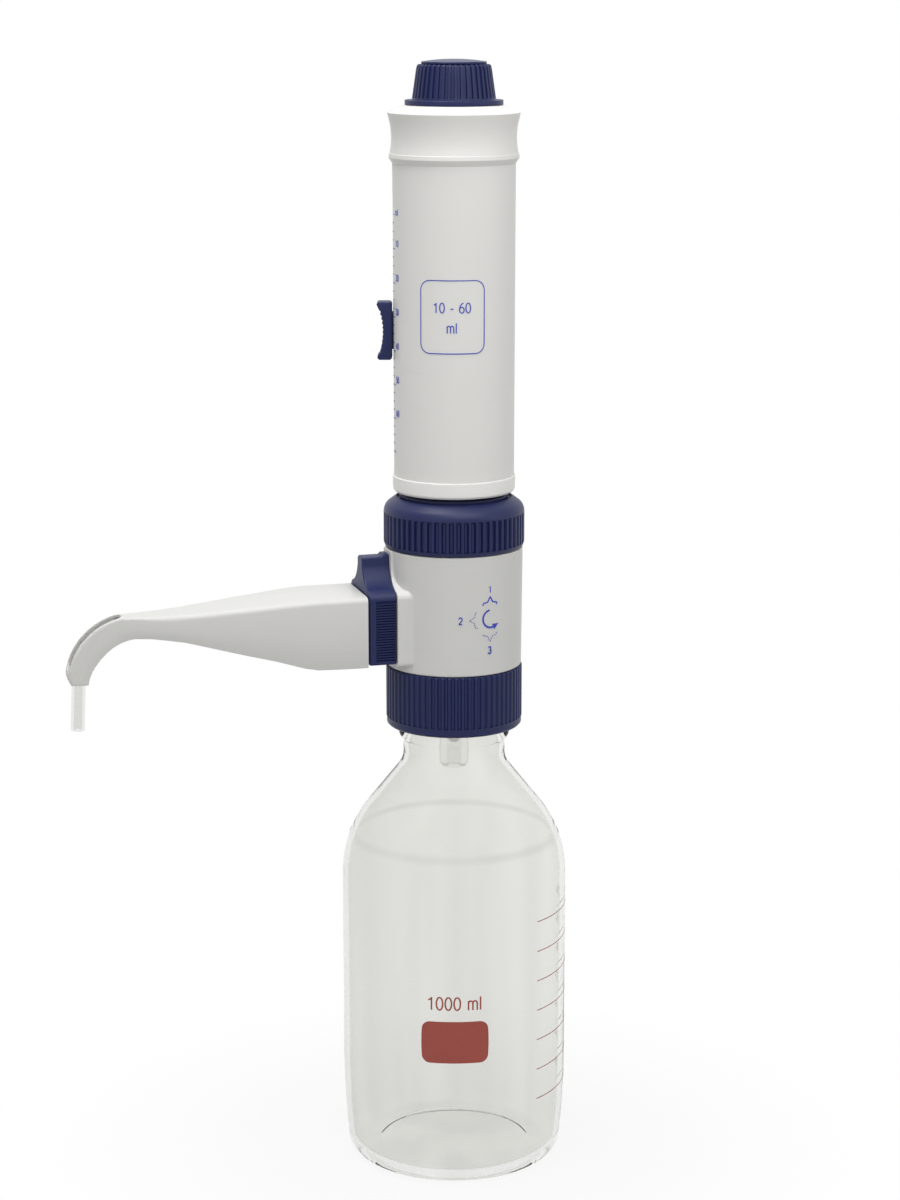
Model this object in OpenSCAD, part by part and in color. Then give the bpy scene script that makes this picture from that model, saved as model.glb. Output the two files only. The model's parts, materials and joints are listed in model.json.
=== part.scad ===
// Bottle-top dispenser standing on its glass bottle.
// Millimetres, +Z up. The origin is the centre of the bottle's foot, and the spout points to -X.

/* [Bottle] */
// Outside diameter of the bottle's body
bottle_d = 101; // [96:0.5:108]
// Height from the foot to the lip
bottle_h = 225; // [222:0.5:240]
// Thickness of the glass in the walls
glass_t = 2.4; // [2:0.1:3]
// Outside diameter of the plain neck
neck_d = 45.4; // [44:0.1:46]
// Diameter over the bead below the thread
bead_d = 49.4; // [48:0.1:51]
// Diameter of the neck above the bead
finish_d = 42; // [41:0.1:43]
// Bore of the mouth
mouth_d = 30; // [29:0.5:32]
// Height from the end of the straight wall up to the lip
neck_run = 92.5; // [90:0.5:105]
// Radius of the shoulder's curve
shoulder_r = 52; // [48:0.5:53]
// Angle at which the shoulder runs up to the neck
shoulder_angle = 38.5; // [37:0.5:40]
// Radius of the heel
heel_r = 8.5; // [7:0.5:10]
// Height over which the wall pulls in towards the heel
taper_h = 46; // [40:1:55]
// How far the wall pulls in there
taper_in = 1.8; // [1:0.1:2.5]

/* [Bottle collar] */
// Outside diameter of the collar that screws on the bottle
collar_d = 60.6; // [60:0.1:61.5]
// Height of that collar
collar_h = 27.3; // [26.5:0.1:28]
// Bore of the collar, clear of the bottle's thread
collar_bore = 46.2; // [45.8:0.1:48]
// Number of grooves in its grip
collar_grooves = 64; // [48:1:72]
// Thickness of the flat seal on the bottle's lip
seal_t = 1.5; // [1:0.1:2.5]

/* [Valve head] */
// Height of the white valve shell
shell_h = 53.1; // [51:0.1:56]
// Outside diameter of the shell at its top
shell_d = 60.8; // [60:0.1:61]
// How much smaller the shell is at its bottom
shell_draft = 1; // [0:0.1:1.5]
// Thickness of the shell
shell_t = 3; // [2.5:0.1:3.2]
// Height of the selector's axis above the bottom of the shell
axis_up = 21; // [20:0.1:22]
// Diameter of the filling valve's stub in the bottle's neck
stub_d = 12.8; // [12.4:0.1:16]
// How far the stub reaches below the bottle's lip
stub_reach = 43; // [40:0.5:50]
// Bore that takes a filling tube at the foot of the stub
fill_bore = 6; // [5:0.1:7]

/* [Selector] */
// Width of the selector knob
knob_w = 34; // [33:0.1:36]
// How far the knob's flat end lies below its axis
knob_low = 16.6; // [16:0.1:17.5]
// How far the knob's shoulders lie above its axis
knob_shoulder = 14.6; // [13.5:0.1:15.5]
// How far the pointer's tip lies above the axis
knob_tip = 30.3; // [28:0.1:30.6]
// Width of the pointer's tip
tip_w = 8; // [7:0.1:10]
// Thickness of the knob along its axis
knob_t = 12.2; // [10:0.1:13]
// Gap between the boss on the shell and the knob
knob_gap = 0.3; // [0.3:0.05:0.35]
// Distance of the knob's back from the bottle's axis
knob_back = 30.9; // [30.8:0.1:33]
// Pitch of the knob's grip ribs
rib_pitch = 1.35; // [1.2:0.05:1.6]
// Diameter of the rotary valve plug
plug_d = 14; // [13:0.1:14.6]

/* [Spout] */
// Reach of the nozzle from the bottle's axis
nozzle_x = 168; // [160:0.5:180]
// Outside diameter of the discharge tube
tube_d = 6; // [5.6:0.1:6.4]
// Bore of the discharge tube
tube_bore = 3.6; // [3:0.1:4]
// Angle at which the tube rises towards its bend
tube_rise = 2.8; // [2.4:0.1:3]
// Radius of the tube's bend
bend_r = 23; // [22:0.5:24]
// Length of clear tube below its bend
nozzle_l = 22.7; // [18:0.1:28]
// Width of the spout cover at its tail
cover_w = 35; // [34:0.1:36]
// How far the cover's tail reaches above the selector's axis
cover_up = 14.3; // [13.5:0.1:15]
// How far the cover's tail reaches below the selector's axis
cover_down = 17; // [16:0.1:18]
// Thickness of the spout cover
cover_t = 1.8; // [1.5:0.1:2]
// Thickness of the cover in its nose
nose_t = 1.2; // [1:0.1:1.5]
// Width of the slot along the nose
nose_slot = 5.3; // [5.2:0.1:5.4]

/* [Clamp collar] */
// Outside diameter of the collar under the housing
clamp_d = 62.2; // [61.5:0.1:63]
// Height of that collar
clamp_h = 23.2; // [22.5:0.1:24]
// Height of its straight grip
clamp_grip = 15.2; // [14:0.1:16]
// Number of grooves in its grip
clamp_grooves = 60; // [48:1:66]

/* [Dosing unit] */
// Bore of the glass cylinder
cyl_bore = 20.6; // [19:0.1:21]
// Outside diameter of the glass cylinder
cyl_d = 26; // [25.4:0.1:26.4]
// Length of the glass cylinder
cyl_l = 167; // [160:1:170]
// Outside diameter of the protective sleeve
guard_d = 35; // [34:0.1:36]
// Height of the stop ring above the valve block
guard_l = 131; // [128:1:133]
// Outside diameter of the stop ring on top of the sleeve
stop_d = 43.2; // [42:0.1:43.4]

/* [Housing] */
// Outside diameter of the housing at its bottom
housing_d = 52.8; // [52.4:0.1:53.4]
// How much larger the housing is at its top
housing_draft = 0.5; // [0:0.1:0.8]
// Bore of the housing
housing_bore = 48.8; // [48.4:0.1:49.2]
// Length of the housing tube
housing_l = 135.5; // [130:0.5:145]
// Height of the guide ring below the housing tube
ring_h = 7; // [6:0.1:8]
// Gap between the guide ring and the clamp collar at rest
rest_gap = 1.4; // [1:0.1:3]
// Direction of the volume slot, in degrees from +X
slot_turn = 164; // [0:1:359]
// Width of the volume slot
slot_w = 6; // [5:0.1:7]
// Height of the slot's lower end above the tube's bottom
slot_up = 2.2; // [2:0.1:6]
// Distance of the slot's upper end from the tube's top
slot_end = 11.3; // [10:0.1:14]

/* [Cap] */
// Height of the cap
cap_h = 24.7; // [23:0.1:27]
// Diameter over the cap's sharp rim
rim_d = 57.5; // [56.5:0.1:58]
// Smallest diameter of the cap's waist
waist_d = 54.1; // [53.8:0.1:55]
// Height of the waist above the cap's bottom
waist_up = 11.1; // [10:0.1:12]
// Radius of the waist's curve
waist_r = 31.2; // [29:0.2:40]

/* [Top knob] */
// Diameter of the knob's flange
flange_d = 42.4; // [41:0.1:43]
// Diameter of the grip at its bottom
grip_d = 36.2; // [35:0.1:37.4]
// Diameter of the grip at its top
grip_top_d = 31.9; // [31:0.1:33]
// Height of the grip above the flange
grip_h = 15; // [13:0.1:17]
// Number of grooves in the knob
knob_grooves = 40; // [30:1:44]

/* [Volume slider] */
// Height of the slider's thumb piece
slider_h = 25; // [22:0.1:26]
// Width of the thumb piece
slider_w = 10; // [8:0.1:12]
// Height of the slider's middle above the tube's bottom
slider_up = 63.5; // [61:0.1:66]
// How far the thumb piece stands out in its middle
slider_out = 4; // [3.4:0.1:5]

/* [Hidden] */
$fn = 96;
cut = 1;

// Clearances
run_fit = 0.05;
seat_gap = 0.1;
free_gap = 0.3;

// Bottle
bottle_r = bottle_d / 2;
neck_r = neck_d / 2;
finish_r = finish_d / 2;
mouth_r = mouth_d / 2;
heel_out = bottle_r - taper_in;
bead_half = 3.3;
bead_z = bottle_h - 26.5;
shoulder_z = bottle_h - neck_run;
neck_fillet = 6;
foot_w = 2.4;
foot_rise = 2.5;

// Stack of the valve head, from the bottle's lip upwards
flange_z = bottle_h + seal_t;
flange_t = 1.5;
lip_gap = 0.2;
collar_lip = 1.5;
collar_top = flange_z + flange_t + lip_gap + collar_lip;
collar_z = collar_top - collar_h;
shell_z = collar_top + free_gap;
shell_top = shell_z + shell_h;
axis_z = shell_z + axis_up;
clamp_z = shell_top + free_gap;
clamp_top = clamp_z + clamp_h;
block_top = clamp_z + 14;
guard_flange_h = 5;
clamp_lip_z = block_top + guard_flange_h + lip_gap;

// Radii of the valve block
shell_in = shell_d / 2 - shell_t - 0.4;
block_r = shell_in - seat_gap;
block_neck_r = 20;
flange_r = 22.3;
block_upper_r = 23.5;
socket_up = 8.5;
socket_r = stub_d / 2 + 1.1;
cyl_floor = axis_z + plug_d / 2 + 5;
cyl_z = cyl_floor + 2;
plug_in = 12;
spigot_r = 4;
spigot_in = plug_in + 3;
port_r = 1.2;
port_y = plug_d / 2 + 1.8;
port_z = flange_z + socket_up + 2;

// Knurls
groove_r = 0.8;
groove_deep = 0.65;
wide_groove_r = 1.05;
wide_groove_deep = 0.9;

// Selector knob
knob_x = -knob_back - knob_t;
boss_margin = 1.4;
shoulder_curve = 3.5;
flank_r = 7.5;
rib_deep = 0.45;
rib_count = floor((knob_low + knob_shoulder - shoulder_curve - 1.5) / rib_pitch);
plug_end = knob_x + 2;

// Spout
tube_r = tube_d / 2;
spigot_out = -62;
tube_start = spigot_out + 6;
tube_l = (nozzle_x + tube_start - bend_r * (sin(tube_rise) + cos(tube_rise))) / cos(tube_rise);
bend_x = bend_r * cos(tube_rise) - nozzle_x;
bend_z = axis_z + tube_l * sin(tube_rise) - bend_r * cos(tube_rise);
tube_play = 0.45;
tube_room = 0.15;
tail_x = knob_x - 0.6;
spout_base_t = 3;

// Dosing unit
guard_in = cyl_d / 2 + 2.5;
stop_z = block_top + guard_l;
stop_h = 5;
crown_z = cyl_z + 3;
crown_h = 8;
piston_h = 28;

// Housing
ring_z = clamp_top + rest_gap;
tube_z = ring_z + ring_h;
tube_top = tube_z + housing_l;
cap_top = tube_top + cap_h;
housing_top_d = housing_d + housing_draft;
boss_down = 13;
rod_r = 6;
rod_neck_r = 4;
rod_pin_r = 3;
slot_z = tube_z + slot_up;
slot_l = housing_l - slot_up - slot_end;

// Top knob
knob_z = cap_top + 0.2;
knob_flange_h = 2;
knob_top = knob_z + knob_flange_h + grip_h;
disc_r = 14;
disc_h = 3.4;
disc_seat = 1.2;
nut_h = 4;
pin_l = 8;

// Volume slider
slider_z = tube_z + slider_up;
slider_in = housing_top_d / 2 + free_gap;
shoe_in = stop_d / 2 + 0.6;
shoe_out = housing_bore / 2 - free_gap;
slider_neck_h = 16;

function arc(cx, cy, r, a0, a1, n = 8) =
    [for (i = [0:n]) let (a = a0 + (a1 - a0) * i / n) [cx + r * cos(a), cy + r * sin(a)]];

// Outline of the bottle on a wall line that lies t inside the outer face
function shoulder_end(t) =
    [bottle_r - shoulder_r + (shoulder_r - t) * cos(shoulder_angle),
     shoulder_z + (shoulder_r - t) * sin(shoulder_angle)];
function neck_corner(t, r) =
    let (e = shoulder_end(t)) e[1] + (e[0] - r) / tan(shoulder_angle);
function neck_curve(t, r, fillet) =
    arc(r + fillet, neck_corner(t, r) + fillet * tan(shoulder_angle / 2), fillet,
        180 + shoulder_angle, 180, 5);

module bottle() {
    color([0.86, 0.9, 0.89, 0.4])
    rotate_extrude() difference() {
        polygon(concat(
            [[0, foot_rise], [heel_out - heel_r - foot_w - 8, foot_rise],
             [heel_out - heel_r - foot_w, 0]],
            arc(heel_out - heel_r, heel_r, heel_r, -90, 0, 7),
            [[bottle_r - taper_in * 0.35, taper_h * 0.55], [bottle_r, taper_h]],
            arc(bottle_r - shoulder_r, shoulder_z, shoulder_r, 0, shoulder_angle, 10),
            neck_curve(0, neck_r, neck_fillet),
            [[neck_r, bead_z - bead_half - 1]],
            arc(bead_d / 2 - bead_half, bead_z, bead_half, -60, 90, 6),
            [[finish_r, bead_z + bead_half], [finish_r, bottle_h - 1.5]],
            arc(finish_r - 1.5, bottle_h - 1.5, 1.5, 0, 90, 4),
            [[0, bottle_h]]));
        polygon(concat(
            [[0, foot_rise + glass_t]],
            arc(heel_out - heel_r, heel_r + glass_t, heel_r - glass_t, -90, 0, 6),
            [[bottle_r - glass_t - taper_in * 0.35, taper_h * 0.55],
             [bottle_r - glass_t, taper_h]],
            arc(bottle_r - shoulder_r, shoulder_z, shoulder_r - glass_t, 0, shoulder_angle, 10),
            neck_curve(glass_t, neck_r - glass_t, neck_fillet),
            [[neck_r - glass_t, bead_z - bead_half],
             [mouth_r, bead_z + bead_half], [mouth_r, bottle_h + cut], [0, bottle_h + cut]]));
    }
}

module ring(r_out, r_in, z, h) {
    translate([0, 0, z]) difference() {
        cylinder(h, r = r_out);
        translate([0, 0, -cut]) cylinder(h + 2 * cut, r = r_in);
    }
}

// Upright grooves round a grip of radius r, cut to the given depth
module grooves(count, r, deep, round_r, z, h) {
    for (i = [0:count - 1])
        rotate([0, 0, i * 360 / count])
            translate([r + round_r - deep, 0, z]) cylinder(h, r = round_r, $fn = 20);
}

module neck_seal() {
    color([0.92, 0.92, 0.9]) ring(finish_r - 0.5, mouth_r + 0.5, bottle_h, seal_t);
}

module bottle_collar() {
    r = collar_d / 2;
    rim = 3.6;
    color([0.14, 0.16, 0.42]) difference() {
        rotate_extrude() polygon(concat(
            [[collar_bore / 2, collar_z], [r - 1, collar_z], [r - 0.2, collar_z + 0.8]],
            [[r - 0.2, collar_z + rim - 0.4], [r, collar_z + rim]],
            arc(r - 0.8, collar_top - 0.8, 0.8, 0, 90, 4),
            [[block_neck_r + free_gap, collar_top],
             [block_neck_r + free_gap, collar_top - collar_lip],
             [collar_bore / 2, collar_top - collar_lip]]));
        grooves(collar_grooves, r, groove_deep, groove_r,
            collar_z + rim, collar_h - rim - 0.8 + cut);
    }
}

// A straight drilled passage from p to q
module drill(p, q, r) {
    v = q - p;
    translate(p)
        rotate([0, atan2(norm([v[0], v[1]]), v[2]), atan2(v[1], v[0])])
            cylinder(norm(v), r = r, $fn = 24);
}

// A cylinder along X between two places
module bar(x0, x1, r) {
    translate([min(x0, x1), 0, axis_z]) rotate([0, 90, 0]) cylinder(abs(x1 - x0), r = r);
}

module valve_block() {
    color([0.88, 0.88, 0.86]) difference() {
        union() {
            translate([0, 0, flange_z]) cylinder(flange_t, r = flange_r);
            translate([0, 0, flange_z]) cylinder(shell_z - flange_z + cut, r = block_neck_r);
            translate([0, 0, shell_z]) cylinder(shell_h, r = block_r);
            translate([0, 0, shell_top - cut])
                cylinder(block_top - shell_top + cut, r = block_upper_r);
        }
        translate([0, 0, flange_z - cut]) cylinder(socket_up + cut, r = socket_r);
        translate([0, 0, cyl_floor]) cylinder(block_top - cyl_floor + cut, r = cyl_d / 2 + seat_gap);
        bar(-block_r - cut, plug_in, plug_d / 2);
        bar(plug_in - cut, spigot_in + seat_gap, spigot_r + seat_gap);
        drill([0, 0, port_z - 3], [0, 0, port_z], port_r);
        drill([0, 0, port_z], [0, port_y + port_r, port_z], port_r);
        drill([0, port_y, port_z - port_r], [0, port_y, cyl_floor + cut], port_r);
    }
}

// Half of the knob's outline in its own plane, y across and z up from its axis
function knob_half(m, ribs) = concat(
    [[0, -knob_low - m], [knob_w / 2 + m - 0.6, -knob_low - m], [knob_w / 2 + m, -knob_low - m + 0.6]],
    ribs ? knob_ribs() : [],
    arc(knob_w / 2 + m - shoulder_curve, knob_shoulder + m - shoulder_curve, shoulder_curve, 0, 80, 5),
    arc(tip_w / 2 + m + 0.6 + flank_r, knob_shoulder + m + flank_r - 0.4, flank_r, 262, 188, 6),
    [[tip_w / 2 + m, knob_tip + m - 2], [tip_w / 2 + m - 1, knob_tip + m], [0, knob_tip + m]]);
function knob_ribs() = [for (i = [0:rib_count - 1]) let (z = -knob_low + 1.5 + i * rib_pitch)
    each [[knob_w / 2, z], [knob_w / 2 - rib_deep, z + rib_pitch * 0.2],
          [knob_w / 2 - rib_deep, z + rib_pitch * 0.4], [knob_w / 2, z + rib_pitch * 0.6]]];
function mirrored(half) = concat(half, [for (i = [len(half) - 1:-1:0]) [-half[i][0], half[i][1]]]);

// The knob's outline, drawn out along X from x0 to x1
module knob_form(x0, x1, m, ribs = false) {
    translate([x0, 0, axis_z]) rotate([90, 0, 90])
        linear_extrude(x1 - x0) polygon(mirrored(knob_half(m, ribs)));
}

module valve_shell() {
    color([0.86, 0.86, 0.84]) difference() {
        union() {
            translate([0, 0, shell_z])
                cylinder(shell_h, r1 = (shell_d - shell_draft) / 2, r2 = shell_d / 2);
            knob_form(-knob_back + knob_gap, -shell_in + 6, boss_margin);
        }
        translate([0, 0, shell_z - cut]) cylinder(shell_h + 2 * cut, r = shell_in);
        bar(-knob_back - cut, -shell_in + 8, plug_d / 2 + seat_gap);
    }
}

module filling_valve() {
    low = bottle_h - stub_reach;
    seat = bottle_h - 11;
    nose = 2.5;
    color([0.9, 0.9, 0.88]) rotate_extrude() difference() {
        polygon(concat(
            [[0, low]],
            arc(stub_d / 2 - nose, low + nose, nose, -90, 0, 5),
            [[stub_d / 2, flange_z], [socket_r - seat_gap, flange_z],
             [socket_r - seat_gap, flange_z + socket_up - seat_gap],
             [0, flange_z + socket_up - seat_gap]]));
        polygon([[0, low - cut], [fill_bore / 2, low - cut], [fill_bore / 2, low + 12],
            [1.8, low + 12], [1.8, seat], [3.6, seat], [3.6, seat + 9], [port_r, seat + 9],
            [port_r, flange_z + socket_up + cut], [0, flange_z + socket_up + cut]]);
    }
}

module filling_ball() {
    r = 3;
    hole = 1.8;
    color([0.75, 0.75, 0.77])
        translate([0, 0, bottle_h - 11 + sqrt(r * r - hole * hole) + run_fit]) sphere(r);
}

module selector_knob() {
    color([0.14, 0.16, 0.42]) difference() {
        knob_form(knob_x, -knob_back, 0, ribs = true);
        bar(knob_x - cut, plug_end, spigot_r + free_gap);
        bar(plug_end, -knob_back + cut, plug_d / 2 - run_fit);
    }
}

plug_seal_x = [-25, -15];
module valve_plug() {
    color([0.93, 0.93, 0.92]) difference() {
        bar(plug_end, plug_in - run_fit, plug_d / 2 - run_fit);
        bar(plug_end - cut, plug_in + cut, spigot_r + run_fit);
        for (x = plug_seal_x) difference() {
            bar(x - 0.85, x + 0.85, plug_d / 2 + cut);
            bar(x - 2, x + 2, plug_d / 2 - 1.5);
        }
        translate([0, 0, axis_z]) rotate([90, 0, 0]) cylinder(plug_d, r = port_r, $fn = 24);
    }
}

module plug_seals() {
    wire = 0.7;
    color([0.2, 0.2, 0.2]) for (x = plug_seal_x)
        translate([x, 0, axis_z]) rotate([0, 90, 0])
            rotate_extrude() translate([plug_d / 2 - run_fit - wire, 0]) circle(wire, $fn = 24);
}

ball_chamber = 2.6;
discharge_ball_r = 2.3;
discharge_hole = 1.3;
seat_x = spigot_in - 3;
module discharge_spigot() {
    color([0.93, 0.93, 0.92]) difference() {
        bar(spigot_out, spigot_in, spigot_r);
        bar(spigot_out - cut, tube_start + tube_play, tube_r + tube_play);
        bar(tube_start, seat_x, tube_bore / 2 - 0.3);
        bar(seat_x - 5.8, spigot_in + cut, ball_chamber);
    }
}

module discharge_seat() {
    color([0.6, 0.6, 0.62]) difference() {
        bar(seat_x, spigot_in, ball_chamber);
        bar(seat_x - cut, spigot_in + cut, discharge_hole);
    }
}

module discharge_ball() {
    gap = sqrt(pow(discharge_ball_r, 2) - pow(discharge_hole, 2)) + run_fit;
    color([0.75, 0.75, 0.77]) translate([seat_x - gap, 0, axis_z]) sphere(discharge_ball_r);
}

// Cross section of the spout cover: half width w, height h, top corners of radius c
function cover_section(w, h, c) = concat(
    [[-w, 0], [w, 0]], arc(w - c, h - c, c, 0, 90, 4), arc(c - w, h - c, c, 90, 180, 4));

// Stations of the spout cover, from its tail to its nose. Each gives the low point and
// the high point in the XZ plane, half the width there and the thickness of the wall.
function nose_out(a) = bend_r + tube_r + tube_room + nose_t + 0.5 * pow((a - 130) / 50, 2);
function nose_in(a) = bend_r - 6 + (a < 132 ? 1.6 : 2.9) * pow((a - 132) / 48, 2);
function polar(r, a) = [bend_x + r * cos(a), bend_z + r * sin(a)];

// The tail's form: way from tail to nose, share of the tail's reach below and above the axis,
// share of its width, and how far the station leans
tail_form = [[0, 1, 1, 1, 0], [0.2565, 0.965, 1, 1, 0], [0.585, 0.506, 0.825, 0.8, 0],
    [0.8545, 0.135, 0.678, 0.571, 1], [1, 0.0235, 0.65, 0.4, 0.5]];
tail_stations = [for (f = tail_form) let (x = tail_x + f[0] * (bend_x + 8.5 - tail_x))
    [[x - f[4], axis_z - f[1] * cover_down], [x + f[4], axis_z + f[2] * cover_up],
     f[3] * cover_w / 2, cover_t]];
function nose_stations(turns) = [for (a = turns) [polar(nose_in(a), a), polar(nose_out(a), a),
    5 + 0.9 * pow(max(0, 108 - a) / 24, 2), nose_t]];

// The cavity's stations lie halfway between those of the outside, and run out past both ends
function cavity_stations() = let (s = tail_stations) concat(
    [[s[0][0] + [cut, 0], s[0][1] + [cut, 0], s[0][2], cover_t]],
    [for (i = [0:len(s) - 2]) (s[i] + s[i + 1]) / 2],
    nose_stations([88:8:184]));

// The ring of points at one station, or of its cavity with its foot moved down
function station_ring(s, hollow, foot) =
    let (low = s[0], up = s[1] - s[0], h = norm(up), u = up / h, t = hollow ? s[3] : 0,
         sec = cover_section(s[2] - t, h - t + foot, max(3.4 - t, 0.6) * min(1, s[2] / 7)))
    [for (p = sec) [low[0] + u[0] * (p[1] - foot), p[0], low[1] + u[1] * (p[1] - foot)]];

// A solid between two rings that have the same number of points
module between(a, b) {
    n = len(a);
    hull() polyhedron(
        points = concat(a, b),
        faces = concat(
            [[for (i = [n - 1:-1:0]) i]],
            [for (i = [0:n - 1]) let (j = (i + 1) % n) each [[i, j, n + j], [i, n + j, n + i]]],
            [[for (i = [0:n - 1]) n + i]]));
}

// A loft through stations of the cover or of its cavity
module loft(stations, hollow, foot) {
    for (i = [0:len(stations) - 2])
        between(station_ring(stations[i], hollow, foot), station_ring(stations[i + 1], hollow, foot));
}

module spout_cover() {
    color([0.88, 0.88, 0.86]) difference() {
        loft(concat(tail_stations, nose_stations([for (a = [84:8:172]) a, 180 - tube_rise])), false, 0);
        loft(cavity_stations(), true, 3);
        nose_slot_cut();
    }
}

// A slot with round ends along the outside of the nose
module nose_slot_cut() {
    turns = [103.7:6.2:165.7];
    for (a = turns) if (a < 165) hull() for (b = [a, a + 6.2])
        translate([bend_x, 0, bend_z]) rotate([0, -b, 0]) translate([bend_r + tube_r - 1.5, 0, 0])
            rotate([0, 90, 0]) cylinder(6, r = nose_slot / 2, $fn = 12);
}

module spout_base() {
    first = tail_stations[0];
    h = first[1][1] - first[0][1] - cover_t - seat_gap;
    w = first[2] - cover_t - seat_gap;
    color([0.86, 0.86, 0.84]) difference() {
        union() {
            translate([tail_x - spout_base_t, 0, first[0][1]]) rotate([90, 0, 90])
                linear_extrude(spout_base_t) polygon(cover_section(w, h, 3.4 - cover_t));
            bar(spigot_out + 2, tail_x, spigot_r + 4);
        }
        bar(spigot_out, tail_x + cut, spigot_r);
    }
}

module tube_wall() {
    difference() {
        circle(tube_r);
        circle(tube_bore / 2);
    }
}

// The tube leaves the spigot's mouth, rises a little, and turns down by a quarter circle.
// It is drawn level round the centre of its bend, and tilted as a whole.
module discharge_tube() {
    color([0.85, 0.88, 0.9, 0.5]) translate([bend_x, 0, bend_z]) rotate([0, tube_rise, 0]) {
        translate([0, 0, bend_r]) rotate([0, 90, 0]) linear_extrude(tube_l) tube_wall();
        rotate([90, 0, 0]) intersection() {
            rotate_extrude() translate([bend_r, 0]) tube_wall();
            translate([-2 * bend_r, 0, -tube_d]) cube([2 * bend_r, 2 * bend_r, 2 * tube_d]);
        }
        translate([-bend_r, 0, -nozzle_l]) linear_extrude(nozzle_l) tube_wall();
    }
}

module clamp_collar() {
    r = clamp_d / 2;
    rim = 1.8;
    grip_top = clamp_z + clamp_grip;
    color([0.14, 0.16, 0.42]) difference() {
        rotate_extrude() polygon(concat(
            [[block_upper_r + free_gap, clamp_z], [r - 1, clamp_z], [r, clamp_z + rim]],
            arc(r - 6, grip_top, 6, 0, 50, 6),
            [[r - 5.8, clamp_top - 0.4], [r - 6.2, clamp_top],
             [guard_d / 2 + 0.5, clamp_top], [guard_d / 2 + 0.5, clamp_lip_z],
             [block_upper_r + free_gap, clamp_lip_z]]));
        grooves(clamp_grooves, r, wide_groove_deep, wide_groove_r,
            clamp_z + rim, clamp_grip - rim + 5);
    }
}

module glass_cylinder() {
    color([0.82, 0.88, 0.9, 0.5]) ring(cyl_d / 2, cyl_bore / 2, cyl_z, cyl_l);
}

module cylinder_seal() {
    wire = 0.95;
    color([0.2, 0.2, 0.2]) translate([0, 0, cyl_z - 1])
        rotate_extrude() translate([(cyl_d + cyl_bore) / 4, 0]) circle(wire, $fn = 24);
}

// Flange that the clamp collar presses on the valve block
module guard_foot() {
    color([0.9, 0.9, 0.88])
        ring(block_upper_r - seat_gap, cyl_d / 2 + seat_gap, block_top, guard_flange_h);
}

module cylinder_guard() {
    low = block_top + guard_flange_h;
    color([0.9, 0.9, 0.88]) ring(guard_d / 2, guard_in, low, stop_z - low);
}

module stop_ring() {
    color([0.8, 0.8, 0.8]) ring(stop_d / 2, cyl_d / 2 + seat_gap, stop_z, stop_h);
}

module piston_crown() {
    color([0.95, 0.95, 0.95]) translate([0, 0, crown_z]) rotate_extrude()
        polygon([[0, 0], [cyl_bore / 2 - 1.5, 0], [cyl_bore / 2 - run_fit, 1.5],
            [cyl_bore / 2 - run_fit, crown_h], [0, crown_h]]);
}

module piston_rod() {
    low = crown_z + crown_h;
    color([0.86, 0.86, 0.85]) rotate_extrude() polygon([[0, low],
        [cyl_bore / 2 - 0.7, low], [cyl_bore / 2 - 0.7, low + piston_h - 3],
        [cyl_bore / 2 - 3.7, low + piston_h], [rod_r, low + piston_h],
        [rod_r, cap_top - boss_down], [rod_neck_r, cap_top - boss_down],
        [rod_neck_r, cap_top + nut_h + 1], [rod_pin_r, cap_top + nut_h + 1],
        [rod_pin_r, cap_top + nut_h + 1 + pin_l], [0, cap_top + nut_h + 1 + pin_l]]);
}

module housing_tube() {
    color([0.88, 0.88, 0.86]) difference() {
        translate([0, 0, tube_z]) cylinder(housing_l, d1 = housing_d, d2 = housing_top_d);
        translate([0, 0, tube_z - cut]) cylinder(housing_l + 2 * cut, d = housing_bore);
        rotate([0, 0, slot_turn]) {
            translate([housing_bore / 4, -slot_w / 2, slot_z + slot_w / 2])
                cube([housing_d / 2, slot_w, slot_l - slot_w]);
            for (z = [slot_z + slot_w / 2, slot_z + slot_l - slot_w / 2])
                translate([housing_bore / 4, 0, z]) rotate([0, 90, 0]) cylinder(housing_d / 2, d = slot_w);
        }
    }
}

module guide_ring() {
    r = housing_d / 2;
    web = 3;
    color([0.88, 0.88, 0.86]) rotate_extrude() polygon([
        [guard_d / 2 + free_gap, ring_z], [r - 1.3, ring_z], [r, ring_z + 1.6], [r, ring_z + ring_h],
        [housing_bore / 2 - 2.4, ring_z + ring_h], [housing_bore / 2 - 2.4, ring_z + web],
        [guard_d / 2 + free_gap, ring_z + web]]);
}

module housing_cap() {
    low = tube_top;
    top_t = 3;
    skirt = 4;
    in_r = housing_bore / 2;
    wall_in = in_r - 1.8;
    boss_r = 9;
    color([0.88, 0.88, 0.86]) difference() {
        union() {
            rotate_extrude() difference() {
                polygon([[0, low], [housing_top_d / 2 - 0.1, low], [rim_d / 2, low + 2.6],
                    [rim_d / 2, cap_top - 3.2], [rim_d / 2 - 0.6, cap_top - 2.5],
                    [flange_d / 2 + 0.4, cap_top], [0, cap_top]]);
                translate([waist_d / 2 + waist_r, low + waist_up]) circle(waist_r, $fn = 180);
                polygon([[0, low - cut], [wall_in, low - cut], [wall_in, cap_top - top_t - 1.6],
                    [wall_in - 3, cap_top - top_t], [0, cap_top - top_t]]);
            }
            ring(in_r - seat_gap, wall_in, low - skirt, skirt + 1);
            translate([0, 0, cap_top - boss_down]) cylinder(boss_down - cut, r = boss_r);
            for (a = [30:60:330]) rotate([0, 0, a])
                translate([boss_r - 1, -0.8, cap_top - boss_down + 3])
                    cube([wall_in - boss_r + 1.5, 1.6, boss_down - 4.5]);
        }
        translate([0, 0, cap_top - boss_down - cut]) cylinder(boss_down + 2 * cut, r = rod_neck_r + run_fit);
    }
}

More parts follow.
